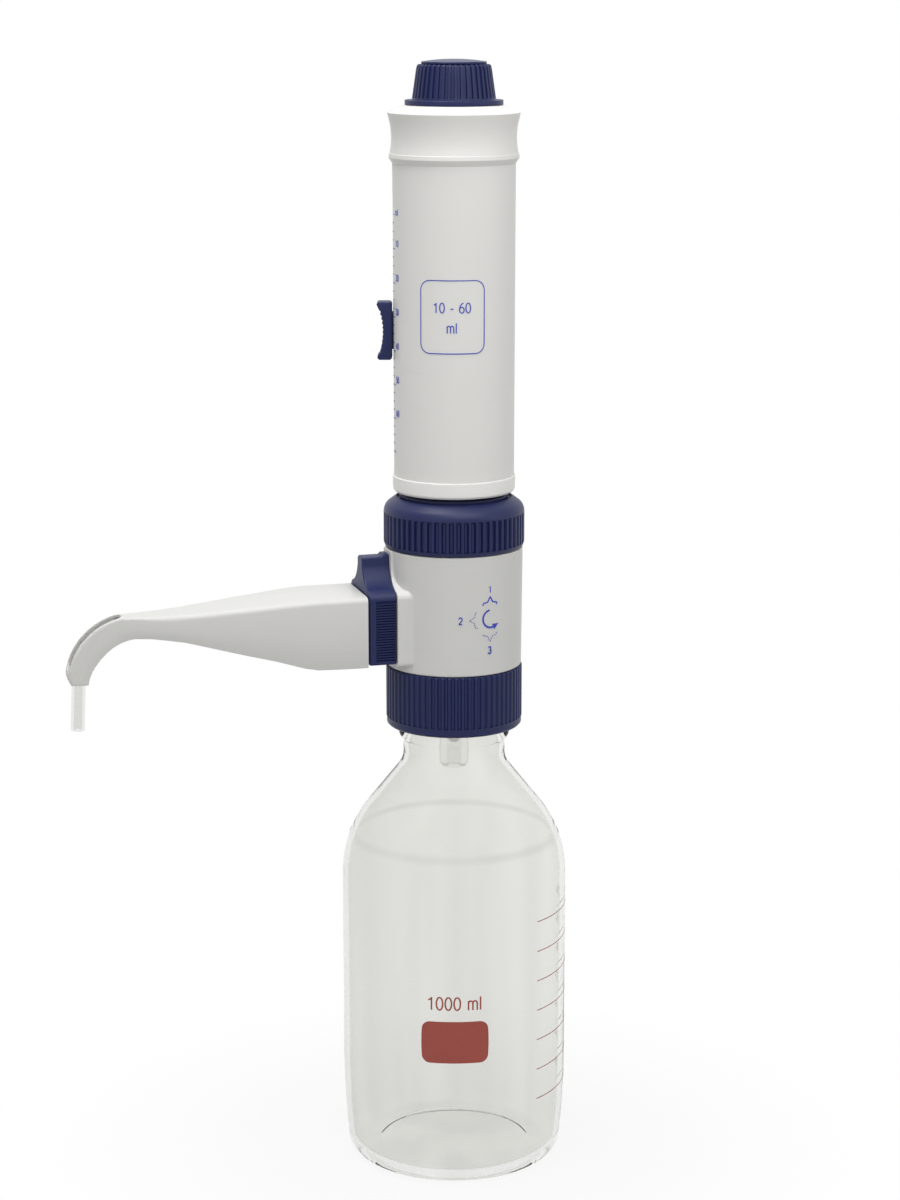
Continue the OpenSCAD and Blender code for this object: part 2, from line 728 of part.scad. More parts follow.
module rod_nut() {
    color([0.75, 0.72, 0.6]) translate([0, 0, cap_top]) difference() {
        cylinder(nut_h, r = 7.5, $fn = 6);
        translate([0, 0, -cut]) cylinder(nut_h + 2 * cut, r = rod_neck_r + run_fit);
    }
}

module top_knob() {
    r0 = grip_d / 2;
    r1 = grip_top_d / 2;
    z0 = knob_z + knob_flange_h;
    lean = atan((r0 - r1) / grip_h);
    wall = 2.2;
    hub_r = 6;
    hub_z = cap_top + nut_h + 1.5;
    color([0.16, 0.18, 0.46]) difference() {
        union() {
            rotate_extrude() difference() {
                polygon(concat(
                    [[0, knob_z], [flange_d / 2, knob_z], [flange_d / 2, z0], [r0, z0]],
                    arc(r1 - 1.1, knob_top - 1.2, 1.2, lean, 90, 4),
                    [[disc_r + 0.2, knob_top], [disc_r + 0.2, knob_top - disc_seat],
                     [0, knob_top - disc_seat]]));
                polygon([[0, knob_z - cut], [r0 - wall, knob_z - cut], [r0 - wall, z0],
                    [r1 - wall, knob_top - disc_seat - wall], [0, knob_top - disc_seat - wall]]);
            }
            translate([0, 0, hub_z]) cylinder(knob_top - disc_seat - hub_z - 1, r = hub_r);
        }
        translate([0, 0, hub_z - cut]) cylinder(pin_l + cut, r = rod_pin_r + run_fit);
        for (i = [0:knob_grooves - 1]) rotate([0, 0, i * 360 / knob_grooves])
            translate([r0 + 0.35, 0, z0]) rotate([0, -lean, 0]) cylinder(grip_h + 2, r = 0.75, $fn = 16);
    }
}

module knob_disc() {
    color([0.36, 0.4, 0.56]) rotate_extrude() translate([0, knob_top - disc_seat]) polygon(concat(
        [[0, 0], [disc_r, 0], [disc_r, disc_h - 1.9], [disc_r - 0.5, disc_h - 1.4]],
        [for (t = [0.75:-0.25:0]) [disc_r * t, disc_h - 1.2 * t * t]]));
}

// Outer face of the thumb piece: hollow for the thumb, with small steps across it
function thumb_out(z) = slider_out + 2.4 * pow(z / (slider_h / 2), 2) + 0.6 * max(0, z) / slider_h;
module volume_slider() {
    half = slider_h / 2;
    pitch = 1.9;
    teeth = floor((slider_h - 5) / pitch);
    start = -teeth * pitch / 2;
    color([0.14, 0.16, 0.42]) translate([0, 0, slider_z]) rotate([0, 0, slot_turn]) {
        translate([slider_in, slider_w / 2, 0]) rotate([90, 0, 0]) linear_extrude(slider_w) polygon(concat(
            [[0, -half + 0.8], [0.8, -half], [thumb_out(-half) - 0.8, -half], [thumb_out(-half), -half + 0.8]],
            [for (i = [0:teeth - 1]) let (z = start + i * pitch)
                each [[thumb_out(z), z], [thumb_out(z) - 0.6, z + pitch * 0.3],
                      [thumb_out(z + pitch * 0.6), z + pitch * 0.6]]],
            [[thumb_out(half), half - 0.8], [thumb_out(half) - 0.8, half], [0.8, half], [0, half - 0.8]]));
        translate([shoe_in + 0.5, -slot_w / 2 + free_gap, -slider_neck_h / 2])
            cube([slider_in - shoe_in, slot_w - 2 * free_gap, slider_neck_h]);
    }
}

module slider_shoe() {
    w = 12;
    h = slider_neck_h + 2;
    color([0.85, 0.85, 0.83]) translate([0, 0, slider_z]) rotate([0, 0, slot_turn]) difference() {
        intersection() {
            ring(shoe_out, shoe_in, -h / 2, h);
            translate([0, -w / 2, -h / 2]) cube([shoe_out + cut, w, h]);
        }
        translate([shoe_in - cut, -slot_w / 2 + free_gap - seat_gap, -slider_neck_h / 2 - seat_gap])
            cube([shoe_out - shoe_in + 2 * cut, slot_w - 2 * free_gap + 2 * seat_gap,
                slider_neck_h + 2 * seat_gap]);
    }
}

bottle();
neck_seal();
bottle_collar();
valve_block();
valve_shell();
filling_valve();
filling_ball();
selector_knob();
valve_plug();
plug_seals();
discharge_spigot();
discharge_seat();
discharge_ball();
spout_base();
spout_cover();
discharge_tube();
clamp_collar();
glass_cylinder();
cylinder_seal();
guard_foot();
cylinder_guard();
stop_ring();
piston_crown();
piston_rod();
housing_tube();
guide_ring();
housing_cap();
rod_nut();
top_knob();
knob_disc();
volume_slider();
slider_shoe();
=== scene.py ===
"""Visible pieces and finishes of a bottle-top dispenser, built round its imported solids."""

import json
import math

import bmesh
import bpy
from mathutils import Matrix, Vector


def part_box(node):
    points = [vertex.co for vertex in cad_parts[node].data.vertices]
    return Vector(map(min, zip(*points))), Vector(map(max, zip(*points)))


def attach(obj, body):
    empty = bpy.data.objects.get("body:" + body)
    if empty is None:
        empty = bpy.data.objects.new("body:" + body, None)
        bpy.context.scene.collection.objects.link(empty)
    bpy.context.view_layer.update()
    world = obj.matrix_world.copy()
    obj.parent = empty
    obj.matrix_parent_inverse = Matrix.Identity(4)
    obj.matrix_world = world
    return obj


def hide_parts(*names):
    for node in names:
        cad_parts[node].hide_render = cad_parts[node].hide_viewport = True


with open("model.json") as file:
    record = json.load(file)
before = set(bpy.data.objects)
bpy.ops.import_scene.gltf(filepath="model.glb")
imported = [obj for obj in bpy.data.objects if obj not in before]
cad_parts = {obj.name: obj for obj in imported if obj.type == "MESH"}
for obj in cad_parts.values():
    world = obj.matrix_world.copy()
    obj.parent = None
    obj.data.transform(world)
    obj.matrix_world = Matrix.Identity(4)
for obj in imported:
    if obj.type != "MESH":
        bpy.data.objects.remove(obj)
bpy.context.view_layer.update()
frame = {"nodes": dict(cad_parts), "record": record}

bl_info = {
    "name": "Bottle-top dispenser",
    "version": (1, 0, 0),
    "blender": (4, 5, 0),
    "location": "3D View > Sidebar > Dispenser",
    "description": "Builds the glass, mouldings and printed marks of a bottle-top dispenser",
    "category": "Object",
}

MM = 0.001


# Sizes of the solids, in millimetres


def corners(node):
    """The lowest and highest corner of a solid, in millimetres."""
    low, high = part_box(node)
    return [v / MM for v in low], [v / MM for v in high]


def record_colour(slot):
    """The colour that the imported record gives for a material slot."""
    for entry in frame["record"]["materials"]:
        if entry["slot"] == slot:
            return tuple(entry["base_color"][:3])
    raise RuntimeError(f"the record has no slot {slot}")


KNOB_BACK = corners("selector_knob")[1][0]
KNOB_FRONT = corners("selector_knob")[0][0]
AXIS_Z = corners("discharge_seat")[0][2] + 2.6
SHELL_LOW = corners("valve_shell")[0][2]
SHELL_TOP = corners("valve_shell")[1][2]
TUBE_LOW = corners("housing_tube")[0][2]
TUBE_TOP = corners("housing_tube")[1][2]
CAP_TOP = corners("housing_cap")[1][2]
SLIDER_Z = sum(c[2] for c in corners("volume_slider")) / 2
VIEW_TURN = -15.9
SLOT_TURN = -106.0
SLOT_AXIS = 164.0
BOTTLE_RADIUS = 50.5
SHOULDER_CENTRE = (-1.5, 132.5)


# Shader building


class Number:
    """A value inside a shader: Python's operators on it add Math nodes."""

    def __init__(self, graph, socket):
        self.graph = graph
        self.socket = socket

    def _math(self, operation, *values):
        return self.graph.node("ShaderNodeMath", {"operation": operation}, dict(enumerate(values)))

    def __add__(self, other):
        return self._math("ADD", self, other)

    def __sub__(self, other):
        return self._math("SUBTRACT", self, other)

    def __mul__(self, other):
        return self._math("MULTIPLY", self, other)

    def maximum(self, other):
        return self._math("MAXIMUM", self, other)

    def ramp(self, low, high):
        """0 below low, 1 above high, and smooth between them."""
        return self.graph.node("ShaderNodeMapRange", {"interpolation_type": "SMOOTHSTEP"},
                               {"Value": self, "From Min": low, "From Max": high})


class Graph:
    """The node tree of a material or of the world."""

    def __init__(self, owner):
        owner.use_nodes = True
        self.tree = owner.node_tree
        self.tree.nodes.clear()

    def node(self, kind, settings=None, values=None, out=0):
        made = self.tree.nodes.new(kind)
        for key, value in (settings or {}).items():
            setattr(made, key, value)
        for key, value in (values or {}).items():
            if isinstance(value, Number):
                self.tree.links.new(value.socket, made.inputs[key])
            else:
                made.inputs[key].default_value = value
        return Number(self, made.outputs[out]) if made.outputs else None

    def place(self, stretch=(1, 1, 1)):
        """Object coordinates, drawn out along each axis by its own factor."""
        where = self.node("ShaderNodeTexCoord", out="Object")
        return self.node("ShaderNodeMapping", {}, {"Vector": where, "Scale": stretch})

    def noise(self, where, scale, detail=2, rough=0.5):
        return self.node("ShaderNodeTexNoise", {},
                         {"Vector": where, "Scale": scale, "Detail": detail, "Roughness": rough})

    def mix(self, factor, first, second):
        """A colour between two colours."""
        colours = [c if isinstance(c, Number) else (*c[:3], 1) for c in (first, second)]
        return self.node("ShaderNodeMix", {"data_type": "RGBA"},
                         {0: factor, 6: colours[0], 7: colours[1]}, out=2)

    def bump(self, height, distance, strength=1.0):
        return self.node("ShaderNodeBump", {},
                         {"Height": height, "Distance": distance, "Strength": strength})

    def seen(self):
        """1 where the camera, a gloss or a clear wall looks, 0 where light only falls."""
        rays = [self.node("ShaderNodeLightPath", out=f"Is {kind} Ray")
                for kind in ("Camera", "Glossy", "Transmission")]
        return rays[0].maximum(rays[1]).maximum(rays[2])

    def surface(self, shader_values):
        shader = self.node("ShaderNodeBsdfPrincipled", {}, shader_values)
        self.node("ShaderNodeOutputMaterial", {}, {"Surface": shader})


def shade(colour, factor):
    return tuple(min(1.0, c * factor) for c in colour)


def moulded(name, colour, rough, grain=0.00003, mottle=0.05, specular=0.5, smear=0.0):
    """Moulded plastic: fine matt grain, cloudy gloss, and faint handling marks."""
    material = bpy.data.materials.new(name)
    graph = Graph(material)
    cloud = graph.noise(graph.place(), 28, 3)
    grit = graph.noise(graph.place(), 2300, 2)
    rubbed = graph.noise(graph.place((30, 30, 260)), 1, 5, 0.62).ramp(0.58, 0.76)
    speck = graph.noise(graph.place(), 520, 1).ramp(0.72, 0.8)
    tone = graph.mix(cloud, shade(colour, 1 - mottle), shade(colour, 1 + mottle))
    tone = graph.mix(rubbed * smear, tone, shade(colour, 0.6))
    tone = graph.mix(speck * (mottle * 2), tone, shade(colour, 1.5))
    graph.surface({
        "Base Color": tone,
        "Roughness": cloud * 0.12 + (rough - 0.06) + rubbed * 0.06,
        "Specular IOR Level": specular,
        "Normal": graph.bump(grit + cloud * 0.4, grain, 0.6),
    })
    return material


def clear(name, colour, rough, ior=1.47, ripple=0.0002, streak=0.02, seam=None, edge=0.3):
    """Glass or clear plastic: slow ripples of its wall, a mould's seam with a band of painted shade
    along it and soft vertical bands of painted reflection round it, and a darker edge.
    """
    material = bpy.data.materials.new(name)
    graph = Graph(material)
    slow = graph.noise(graph.place((1, 1, 0.35)), 26, 2, 0.4)
    cords = graph.noise(graph.place((1, 1, 0.12)), 150, 2)
    tone = graph.mix(cords, shade(colour, 1 - streak), colour)
    if seam is not None:
        height = graph.node("ShaderNodeSeparateXYZ", {}, {"Vector": graph.place()}, out="Z")
        # A grey band painted round the wall at the seam's height: painted shade along the seam's
        # ridge.
        near = height.ramp(seam - 0.0026, seam - 0.0004) - height.ramp(seam + 0.0004, seam + 0.0026)
        # Soft vertical bands, a little lighter and darker: painted reflections of the studio in the
        # glass.
        painted_reflection_bands = graph.noise(graph.place((1, 1, 0.07)), 30, 2, 0.5).ramp(0.38, 0.64)
        tone = graph.mix(painted_reflection_bands * 0.8, shade(colour, 0.93), shade(colour, 1.015))
        tone = graph.mix(near * 0.7, tone, shade(colour, 0.85))
    rim = graph.node("ShaderNodeLayerWeight", {}, {"Blend": 0.5}, out="Facing")
    tone = graph.mix(rim.ramp(0.45, 1.0) * edge, tone, (0.55, 0.6, 0.54))
    values = {
        "Base Color": tone,
        "Roughness": cords * 0.01 + rough,
        "IOR": ior,
        "Transmission Weight": 1.0,
        "Specular Tint": (0.84, 0.87, 0.82, 1),
    }
    if ripple:
        values["Normal"] = graph.bump(slow + cords * 0.05, ripple, 1.0)
    graph.surface(values)
    return material


def printed(name, colour):
    """Screen-printed ink: thin and slightly uneven."""
    material = bpy.data.materials.new(name)
    graph = Graph(material)
    film = graph.noise(graph.place(), 900, 3)
    patch = graph.noise(graph.place(), 130, 2)
    graph.surface({
        "Base Color": graph.mix(film * 0.5 + patch * 0.4, colour, shade(colour, 1.45)),
        "Roughness": patch * 0.2 + 0.38,
        "Normal": graph.bump(film, 0.00002, 0.5),
    })
    return material


def metal(name, colour, rough):
    """Turned and polished metal with fine lines round its axis."""
    material = bpy.data.materials.new(name)
    graph = Graph(material)
    lines = graph.noise(graph.place((1, 1, 60)), 90, 3)
    graph.surface({
        "Base Color": graph.mix(lines, shade(colour, 0.9), colour),
        "Metallic": 1.0,
        "Roughness": lines * 0.15 + rough,
        "Normal": graph.bump(lines, 0.00001, 0.4),
    })
    return material


def rubber(name, colour):
    """Sealing rubber: matt, a little dusty."""
    material = bpy.data.materials.new(name)
    graph = Graph(material)
    dust = graph.noise(graph.place(), 420, 4)
    graph.surface({
        "Base Color": graph.mix(dust.ramp(0.45, 0.75) * 0.3, colour, shade(colour, 1.35)),
        "Roughness": dust * 0.2 + 0.55,
        "Normal": graph.bump(dust, 0.00005, 0.5),
    })
    return material


FINISHES = {}


def finish(name):
    """A material by its name, made when it is first asked for."""
    if name not in FINISHES:
        hues = bpy.context.scene.dispenser_colours
        makers = {
            "navy_moulding": lambda: moulded(name, hues.blue, 0.44, 0.00003, 0.06, 0.36),
            # The disc's finish: a lighter grey-blue than the blue moulding, a painted highlight for
            # the light on the dome.
            "disc_painted_highlight": lambda: moulded(name, hues.disc, 0.42, 0.00001, 0.04, 0.4),
            "white_moulding": lambda: moulded(name, hues.white, 0.42, 0.00003, 0.015, 0.4, 0.06),
            # The foot ring's finish: the white moulding painted 14% lighter, a painted highlight
            # for the light the ring catches.
            "ring_moulding_painted_light": lambda: moulded(name, shade(hues.white, 1.14), 0.4, 0.00003, 0.015,
                                             0.45),
            # The shell and spout's finish: a darker copy of the white moulding, painted shade for
            # the dimmer light that reaches them below the housing and the clamp collar.
            "shell_moulding_painted_shade": lambda: moulded(name, hues.shell, 0.42, 0.00003, 0.015, 0.4, 0.06),
            "white_inner": lambda: moulded(name, shade(hues.white, 0.94), 0.5, 0.00003, 0.03, 0.4),
            "bottle_glass": lambda: clear(name, hues.glass, 0.0, 1.1, 0.0004, seam=0.1512,
                                          edge=0.5),
            "cylinder_glass": lambda: clear(name, hues.glass, 0.0, ripple=0.00005),
            "tube_plastic": lambda: clear(name, hues.tube, 0.0, 1.14, 0, 0.04, edge=0.7),
            "milky_plastic": lambda: clear(name, (0.95, 0.95, 0.94), 0.35, 1.06, 0.00005, 0.03),
            "blue_ink": lambda: printed(name, hues.blue_ink),
            "brown_ink": lambda: printed(name, hues.brown_ink),
            "pale_seal": lambda: rubber(name, record_colour("seal")),
            "dark_seal": lambda: rubber(name, (0.03, 0.03, 0.032)),
            "polished_metal": lambda: metal(name, record_colour("metal"), 0.18),
        }
        FINISHES[name] = makers[name]()
    return FINISHES[name]


# Mesh building, in millimetres


def rounded(points, segments=4):
    """A profile with some of its corners rounded: a point is (x, y) or (x, y, radius)."""
    result = []
    for i, point in enumerate(points):
        here = Vector(point[:2])
        if len(point) < 3 or i in (0, len(points) - 1):
            result.append(here)
            continue
        to_last = Vector(points[i - 1][:2]) - here
        to_next = Vector(points[i + 1][:2]) - here
        half = to_last.angle(to_next) / 2
        reach = point[2] / math.tan(half)
        reach = min(reach, to_last.length * 0.49, to_next.length * 0.49)
        start = here + to_last.normalized() * reach
        end = here + to_next.normalized() * reach
        for k in range(segments + 1):
            t = k / segments
            result.append(start * (1 - t) ** 2 + here * (2 * t * (1 - t)) + end * t ** 2)
    return [(p.x, p.y) for p in result]


def arc_points(cx, cy, radius, start, end, steps):
    """Points along an arc, with its angles in degrees."""
    turns = [math.radians(start + (end - start) * i / steps) for i in range(steps + 1)]
    return [(cx + radius * math.cos(t), cy + radius * math.sin(t)) for t in turns]


def lathe(profile, steps, closed=True, bm=None, start=0.0, turn=360.0):
    """A solid of revolution about Z from a profile of (radius, height)."""
    bm = bm or bmesh.new()
    verts = [bm.verts.new((r, 0, z)) for r, z in profile]
    edges = [bm.edges.new(pair) for pair in zip(verts, verts[1:])]
    if closed:
        edges.append(bm.edges.new((verts[-1], verts[0])))
    if start:
        bmesh.ops.rotate(bm, verts=verts, matrix=Matrix.Rotation(math.radians(start), 3, "Z"))
    bmesh.ops.spin(bm, geom=verts + edges, axis=(0, 0, 1), cent=(0, 0, 0), dvec=(0, 0, 0),
                   angle=math.radians(turn), steps=steps, use_merge=turn == 360.0)
    return bm


def merged(bm, distance=0.0005):
    """Joins doubled points and turns the faces outwards."""
    bmesh.ops.remove_doubles(bm, verts=bm.verts, dist=distance)
    bmesh.ops.recalc_face_normals(bm, faces=bm.faces)
    return bm


def set_radius(v, radius):
    """Moves a point straight out or in, to a distance from the Z axis."""
    share = radius / math.hypot(v.co.x, v.co.y)
    v.co.x *= share
    v.co.y *= share


def groove(angle, count, floor):
    """How deep a groove is at an angle, from 0 on a rib to 1 on the groove's floor."""
    t = (math.cos(angle * count) + floor) / (2 * floor)
    t = max(0.0, min(1.0, t))
    return t * t * (3 - 2 * t)


def sweep(bm, radius, places, segments=40):
    """A round skin along a row of placing matrices. Gives its two end loops."""
    made = bmesh.ops.create_circle(bm, cap_ends=False, segments=segments, radius=radius)
    verts = made["verts"]
    bmesh.ops.transform(bm, matrix=places[0], verts=verts)
    first = list({e for v in verts for e in v.link_edges})
    rim = first
    for last, here in zip(places, places[1:]):
        grown = bmesh.ops.extrude_edge_only(bm, edges=rim)["geom"]
        verts = points_in(grown)
        rim = [g for g in grown if isinstance(g, bmesh.types.BMEdge)
               and all(v in verts for v in g.verts)]
        bmesh.ops.transform(bm, matrix=here @ last.inverted(), verts=verts)
    return first, rim


def points_in(geom):
    """The points among the pieces of a mesh that an operator gives back."""
    return [g for g in geom if isinstance(g, bmesh.types.BMVert)]


def slab(outline, place, depth):
    """A closed outline in XY, drawn out along Z by depth and placed by a matrix."""
    bm = bmesh.new()
    raise_faces(bm, [bm.faces.new([bm.verts.new((x, y, 0)) for x, y in outline])], depth)
    bmesh.ops.transform(bm, matrix=place, verts=bm.verts)
    bmesh.ops.recalc_face_normals(bm, faces=bm.faces)
    return bm


def soften(bm, width, segments=2, angle=40):
    """Rounds the edges that turn by more than an angle."""
    sharp = [e for e in bm.edges if e.is_manifold and e.calc_face_angle(0) > math.radians(angle)]
    bmesh.ops.bevel(bm, geom=sharp, offset=width, offset_type="OFFSET", segments=segments,
                    profile=0.5, affect="EDGES", clamp_overlap=True, material=-1)
    return bm


def piece(name, bm, material, body, nodes=(), smooth=32):
    """Turns a mesh in millimetres into a finished object that rides on a body."""
    bmesh.ops.transform(bm, matrix=Matrix.Scale(MM, 4), verts=bm.verts)
    mesh = bpy.data.meshes.new(name)
    bm.to_mesh(mesh)
    bm.free()
    mesh.polygons.foreach_set("use_smooth", [True] * len(mesh.polygons))
    mesh.set_sharp_from_angle(angle=math.radians(smooth))
    mesh.materials.append(finish(material))
    made = bpy.data.objects.new(name, mesh)
    bpy.context.scene.collection.objects.link(made)
    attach(made, body)
    if nodes:
        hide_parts(*nodes)
    return made


# Printed marks, laid on a round wall


INK = 0.04
LIFT = 0.03


def wrapped(bm, radius, turn, height):
    """Lays a flat mesh on a round wall: x runs round it, y up it, and z stands off it."""
    start = math.radians(turn)
    for v in bm.verts:
        angle = start + v.co.x / radius
        out = radius + LIFT + v.co.z
        v.co = (out * math.sin(angle), -out * math.cos(angle), height + v.co.y)
    return bm


def oval(cx, cy, rx, ry, start=90, end=450, steps=20):
    """Points round an oval, in parts of a figure's height."""
    return [(cx + rx * x, cy + ry * y) for x, y in arc_points(0, 0, 1, start, end, steps)]


FIGURES = {
    "0": [oval(0.28, 0.5, 0.23, 0.48)],
    "1": [[(0.1, 0.76), (0.22, 0.82), (0.33, 0.98), (0.33, 0)]],
    "2": [oval(0.28, 0.71, 0.22, 0.27, 170, -35, 12) + [(0.08, 0.06), (0.07, 0.03), (0.52, 0.03)]],
    "3": [oval(0.26, 0.74, 0.2, 0.24, 160, -85, 12) + oval(0.26, 0.27, 0.24, 0.27, 85, -165, 12)],
    "4": [[(0.54, 0.26), (0.04, 0.26), (0.4, 0.96), (0.4, 0)]],
    "5": [[(0.49, 0.97), (0.14, 0.97), (0.08, 0.5)] + oval(0.27, 0.31, 0.24, 0.3, 125, -155, 14)],
    "6": [oval(0.29, 0.3, 0.22, 0.28), oval(0.49, 0.3, 0.42, 0.68, 95, 180, 8)],
    "7": [[(0.05, 0.97), (0.52, 0.97), (0.34, 0.6), (0.2, 0)]],
    "8": [oval(0.28, 0.74, 0.2, 0.23), oval(0.28, 0.27, 0.24, 0.26)],
    "m": [[(0.08, 0), (0.08, 0.7)], oval(0.24, 0.52, 0.16, 0.18, 180, 0, 8) + [(0.4, 0)],
          oval(0.56, 0.52, 0.16, 0.18, 180, 0, 8) + [(0.72, 0)]],
    "l": [[(0.08, 0), (0.08, 1)]],
    "-": [[(0.08, 0.4), (0.38, 0.4)]],
}
WIDE = {"m": 0.82, "l": 0.2, "-": 0.46, " ": 0.32}


def lettering(bm, text, size, x, y, bold=0.11):
    """Adds a line of plain figures drawn by strokes, centred on a place."""
    pens = [WIDE.get(sign, 0.58) + 0.06 for sign in text]
    pen = -sum(pens) / 2
    for sign, step in zip(text, pens):
        for line in FIGURES.get(sign, ()):
            stroke(bm, [(x + (pen + u) * size, y + (v - 0.5) * size) for u, v in line],
                   bold * size)
        pen += step


def stroke(bm, points, width, closed=False):
    """Adds a flat line of even width through points."""
    spots = [Vector(p) for p in points]
    count = len(spots)
    sides = []
    for i, spot in enumerate(spots):
        last = spots[i - 1] if closed or i else spot
        after = spots[(i + 1) % count] if closed or i < count - 1 else spot
        along = (after - last).normalized()
        side = Vector((-along.y, along.x)) * (width / 2)
        pair = [bm.verts.new((*(spot + side), 0)), bm.verts.new((*(spot - side), 0))]
        sides.append(pair)
    faces = []
    for i in range(count if closed else count - 1):
        a, b = sides[i], sides[(i + 1) % count]
        faces.append(bm.faces.new((a[0], a[1], b[1], b[0])))
    raise_faces(bm, faces, INK)


def raise_faces(bm, faces, thick):
    """Gives flat faces a thickness along Z."""
    grown = bmesh.ops.extrude_face_region(bm, geom=faces)["geom"]
    bmesh.ops.translate(bm, vec=(0, 0, thick), verts=points_in(grown))


def rounded_box(width, height, corner, steps=6):
    """Outline of a box with round corners, centred on zero."""
    w, h = width / 2 - corner, height / 2 - corner
    return [p for cx, cy, a in ((w, h, 0), (-w, h, 90), (-w, -h, 180), (w, -h, 270))
            for p in arc_points(cx, cy, corner, a, a + 90, steps)]


def subdivided(points, step):
    """A line's points with more between them, so that it can follow a round wall."""
    result = []
    for a, b in zip(points, points[1:]):
        n = max(1, int(math.dist(a, b) / step))
        result += [(a[0] + (b[0] - a[0]) * k / n, a[1] + (b[1] - a[1]) * k / n) for k in range(n)]
    return result + [points[-1]]


# Pieces


def bottle_profile():
    """Outside of the bottle, from the middle of its foot up to its lip."""
    outer = rounded([(0, 3.1), (22, 2.9), (32.8, 2.2, 7), (34.6, 0.9, 1.4), (38.2, 0.1, 1)], 5)
    outer += arc_points(40.2, 8.5, 8.5, -96, 0, 14)
    outer += [(48.7 + 1.8 * math.sin(math.pi / 2 * k / 6), 8.5 + 37.5 * k / 6)
              for k in range(1, 7)]
    outer += [(BOTTLE_RADIUS, z) for z in (70, 100, 125)]
    for k in range(41):
        turn = 38.5 * k / 40
        radius = 52 + 0.2 * math.exp(-((turn - 20.8) / 1.8) ** 2)
        outer += arc_points(*SHOULDER_CENTRE, radius, turn, turn, 1)[:1]
    outer += rounded([(39.2, 164.9), (22.7, 185.6, 12), (22.7, 194.2)], 10)[1:]
    outer += arc_points(21.4, 198.5, 3.3, -62, 62, 10)
    outer += rounded([(21, 201.8), (21, 225, 1.3), (17, 225)], 5)
    return outer


def build_bottle():
    inner = rounded([(15, 224.4), (15, 202), (20.3, 194.5, 4), (20.3, 184.7, 11),
                     (37.3, 163.4)], 10)
    inner += arc_points(*SHOULDER_CENTRE, 49.6, 38.5, 0, 30)
    inner += [(48.1, 100), (48.1, 46), (47.5, 26)]
    inner += arc_points(40.2, 10.9, 6.1, 0, -90, 12)
    inner += rounded([(37, 4.8), (30, 5.3, 3), (14, 5.7), (0, 5.8)])
    bm = lathe(bottle_profile() + rounded([(17, 225), (15, 225, 1), (15, 224)])[1:] + inner,
               160, closed=False)
    piece("bottle_glass", merged(bm), "bottle_glass", "bottle", ["bottle"], 50)
    bm = bmesh.new()
    ridge = [bm.verts.new(c) for c in ((20.8, 0, 205.2), (22.2, 0, 206.2), (22.4, 0, 206.8),
                                       (22.2, 0, 207.4), (20.8, 0, 208.4))]
    edges = [bm.edges.new((ridge[i - 1], ridge[i])) for i in range(len(ridge))]
    bmesh.ops.spin(bm, geom=ridge + edges, axis=(0, 0, 1), cent=(0, 0, 0),
                   dvec=(0, 0, 4 / 72), angle=math.tau * 2.6, steps=187)
    bmesh.ops.holes_fill(bm, edges=[e for e in bm.edges if e.is_boundary], sides=0)
    bmesh.ops.recalc_face_normals(bm, faces=bm.faces)
    piece("bottle_thread", bm, "bottle_glass", "bottle")


def build_bottle_print():
    bm = bmesh.new()
    lettering(bm, "1000 ml", 6.1, 0, 87.1, 0.12)
    wrapped(bm, BOTTLE_RADIUS, VIEW_TURN + 0.5, 0)
    field = bmesh.new()
    made = bmesh.ops.create_grid(field, x_segments=24, y_segments=24, size=1)
    high, corner = 9.7, 3.4
    for v in made["verts"]:
        y = high * math.sin(v.co.y * math.pi / 2)
        short = max(0.0, abs(y) - (high - corner))
        half = 15.1 - 0.5 * (y / high) ** 2 - corner + math.sqrt(max(0, corner ** 2 - short ** 2))
        v.co = (v.co.x * half, y, 0)
    raise_faces(field, list(field.faces), INK)
    wrapped(field, BOTTLE_RADIUS, VIEW_TURN + 0.5, 69)
    join(bm, field)
    marks = bmesh.new()
    for k, z in enumerate((36.2, 50.2, 64.2, 78.1, 91.9, 105.7, 119.6)):
        stroke(marks, subdivided([(41.6, z), (92, z)], 1.5), 0.4)
        lettering(marks, str(200 + 100 * k), 2.6, 86, z + 2.3)
    wrapped(marks, BOTTLE_RADIUS, VIEW_TURN, 0)
    join(bm, marks)
    piece("bottle_print", bm, "brown_ink", "bottle")


def join(bm, other):
    """Adds another mesh to this one."""
    mesh = bpy.data.meshes.new("join")
    other.to_mesh(mesh)
    other.free()
    bm.from_mesh(mesh)
    bpy.data.meshes.remove(mesh)


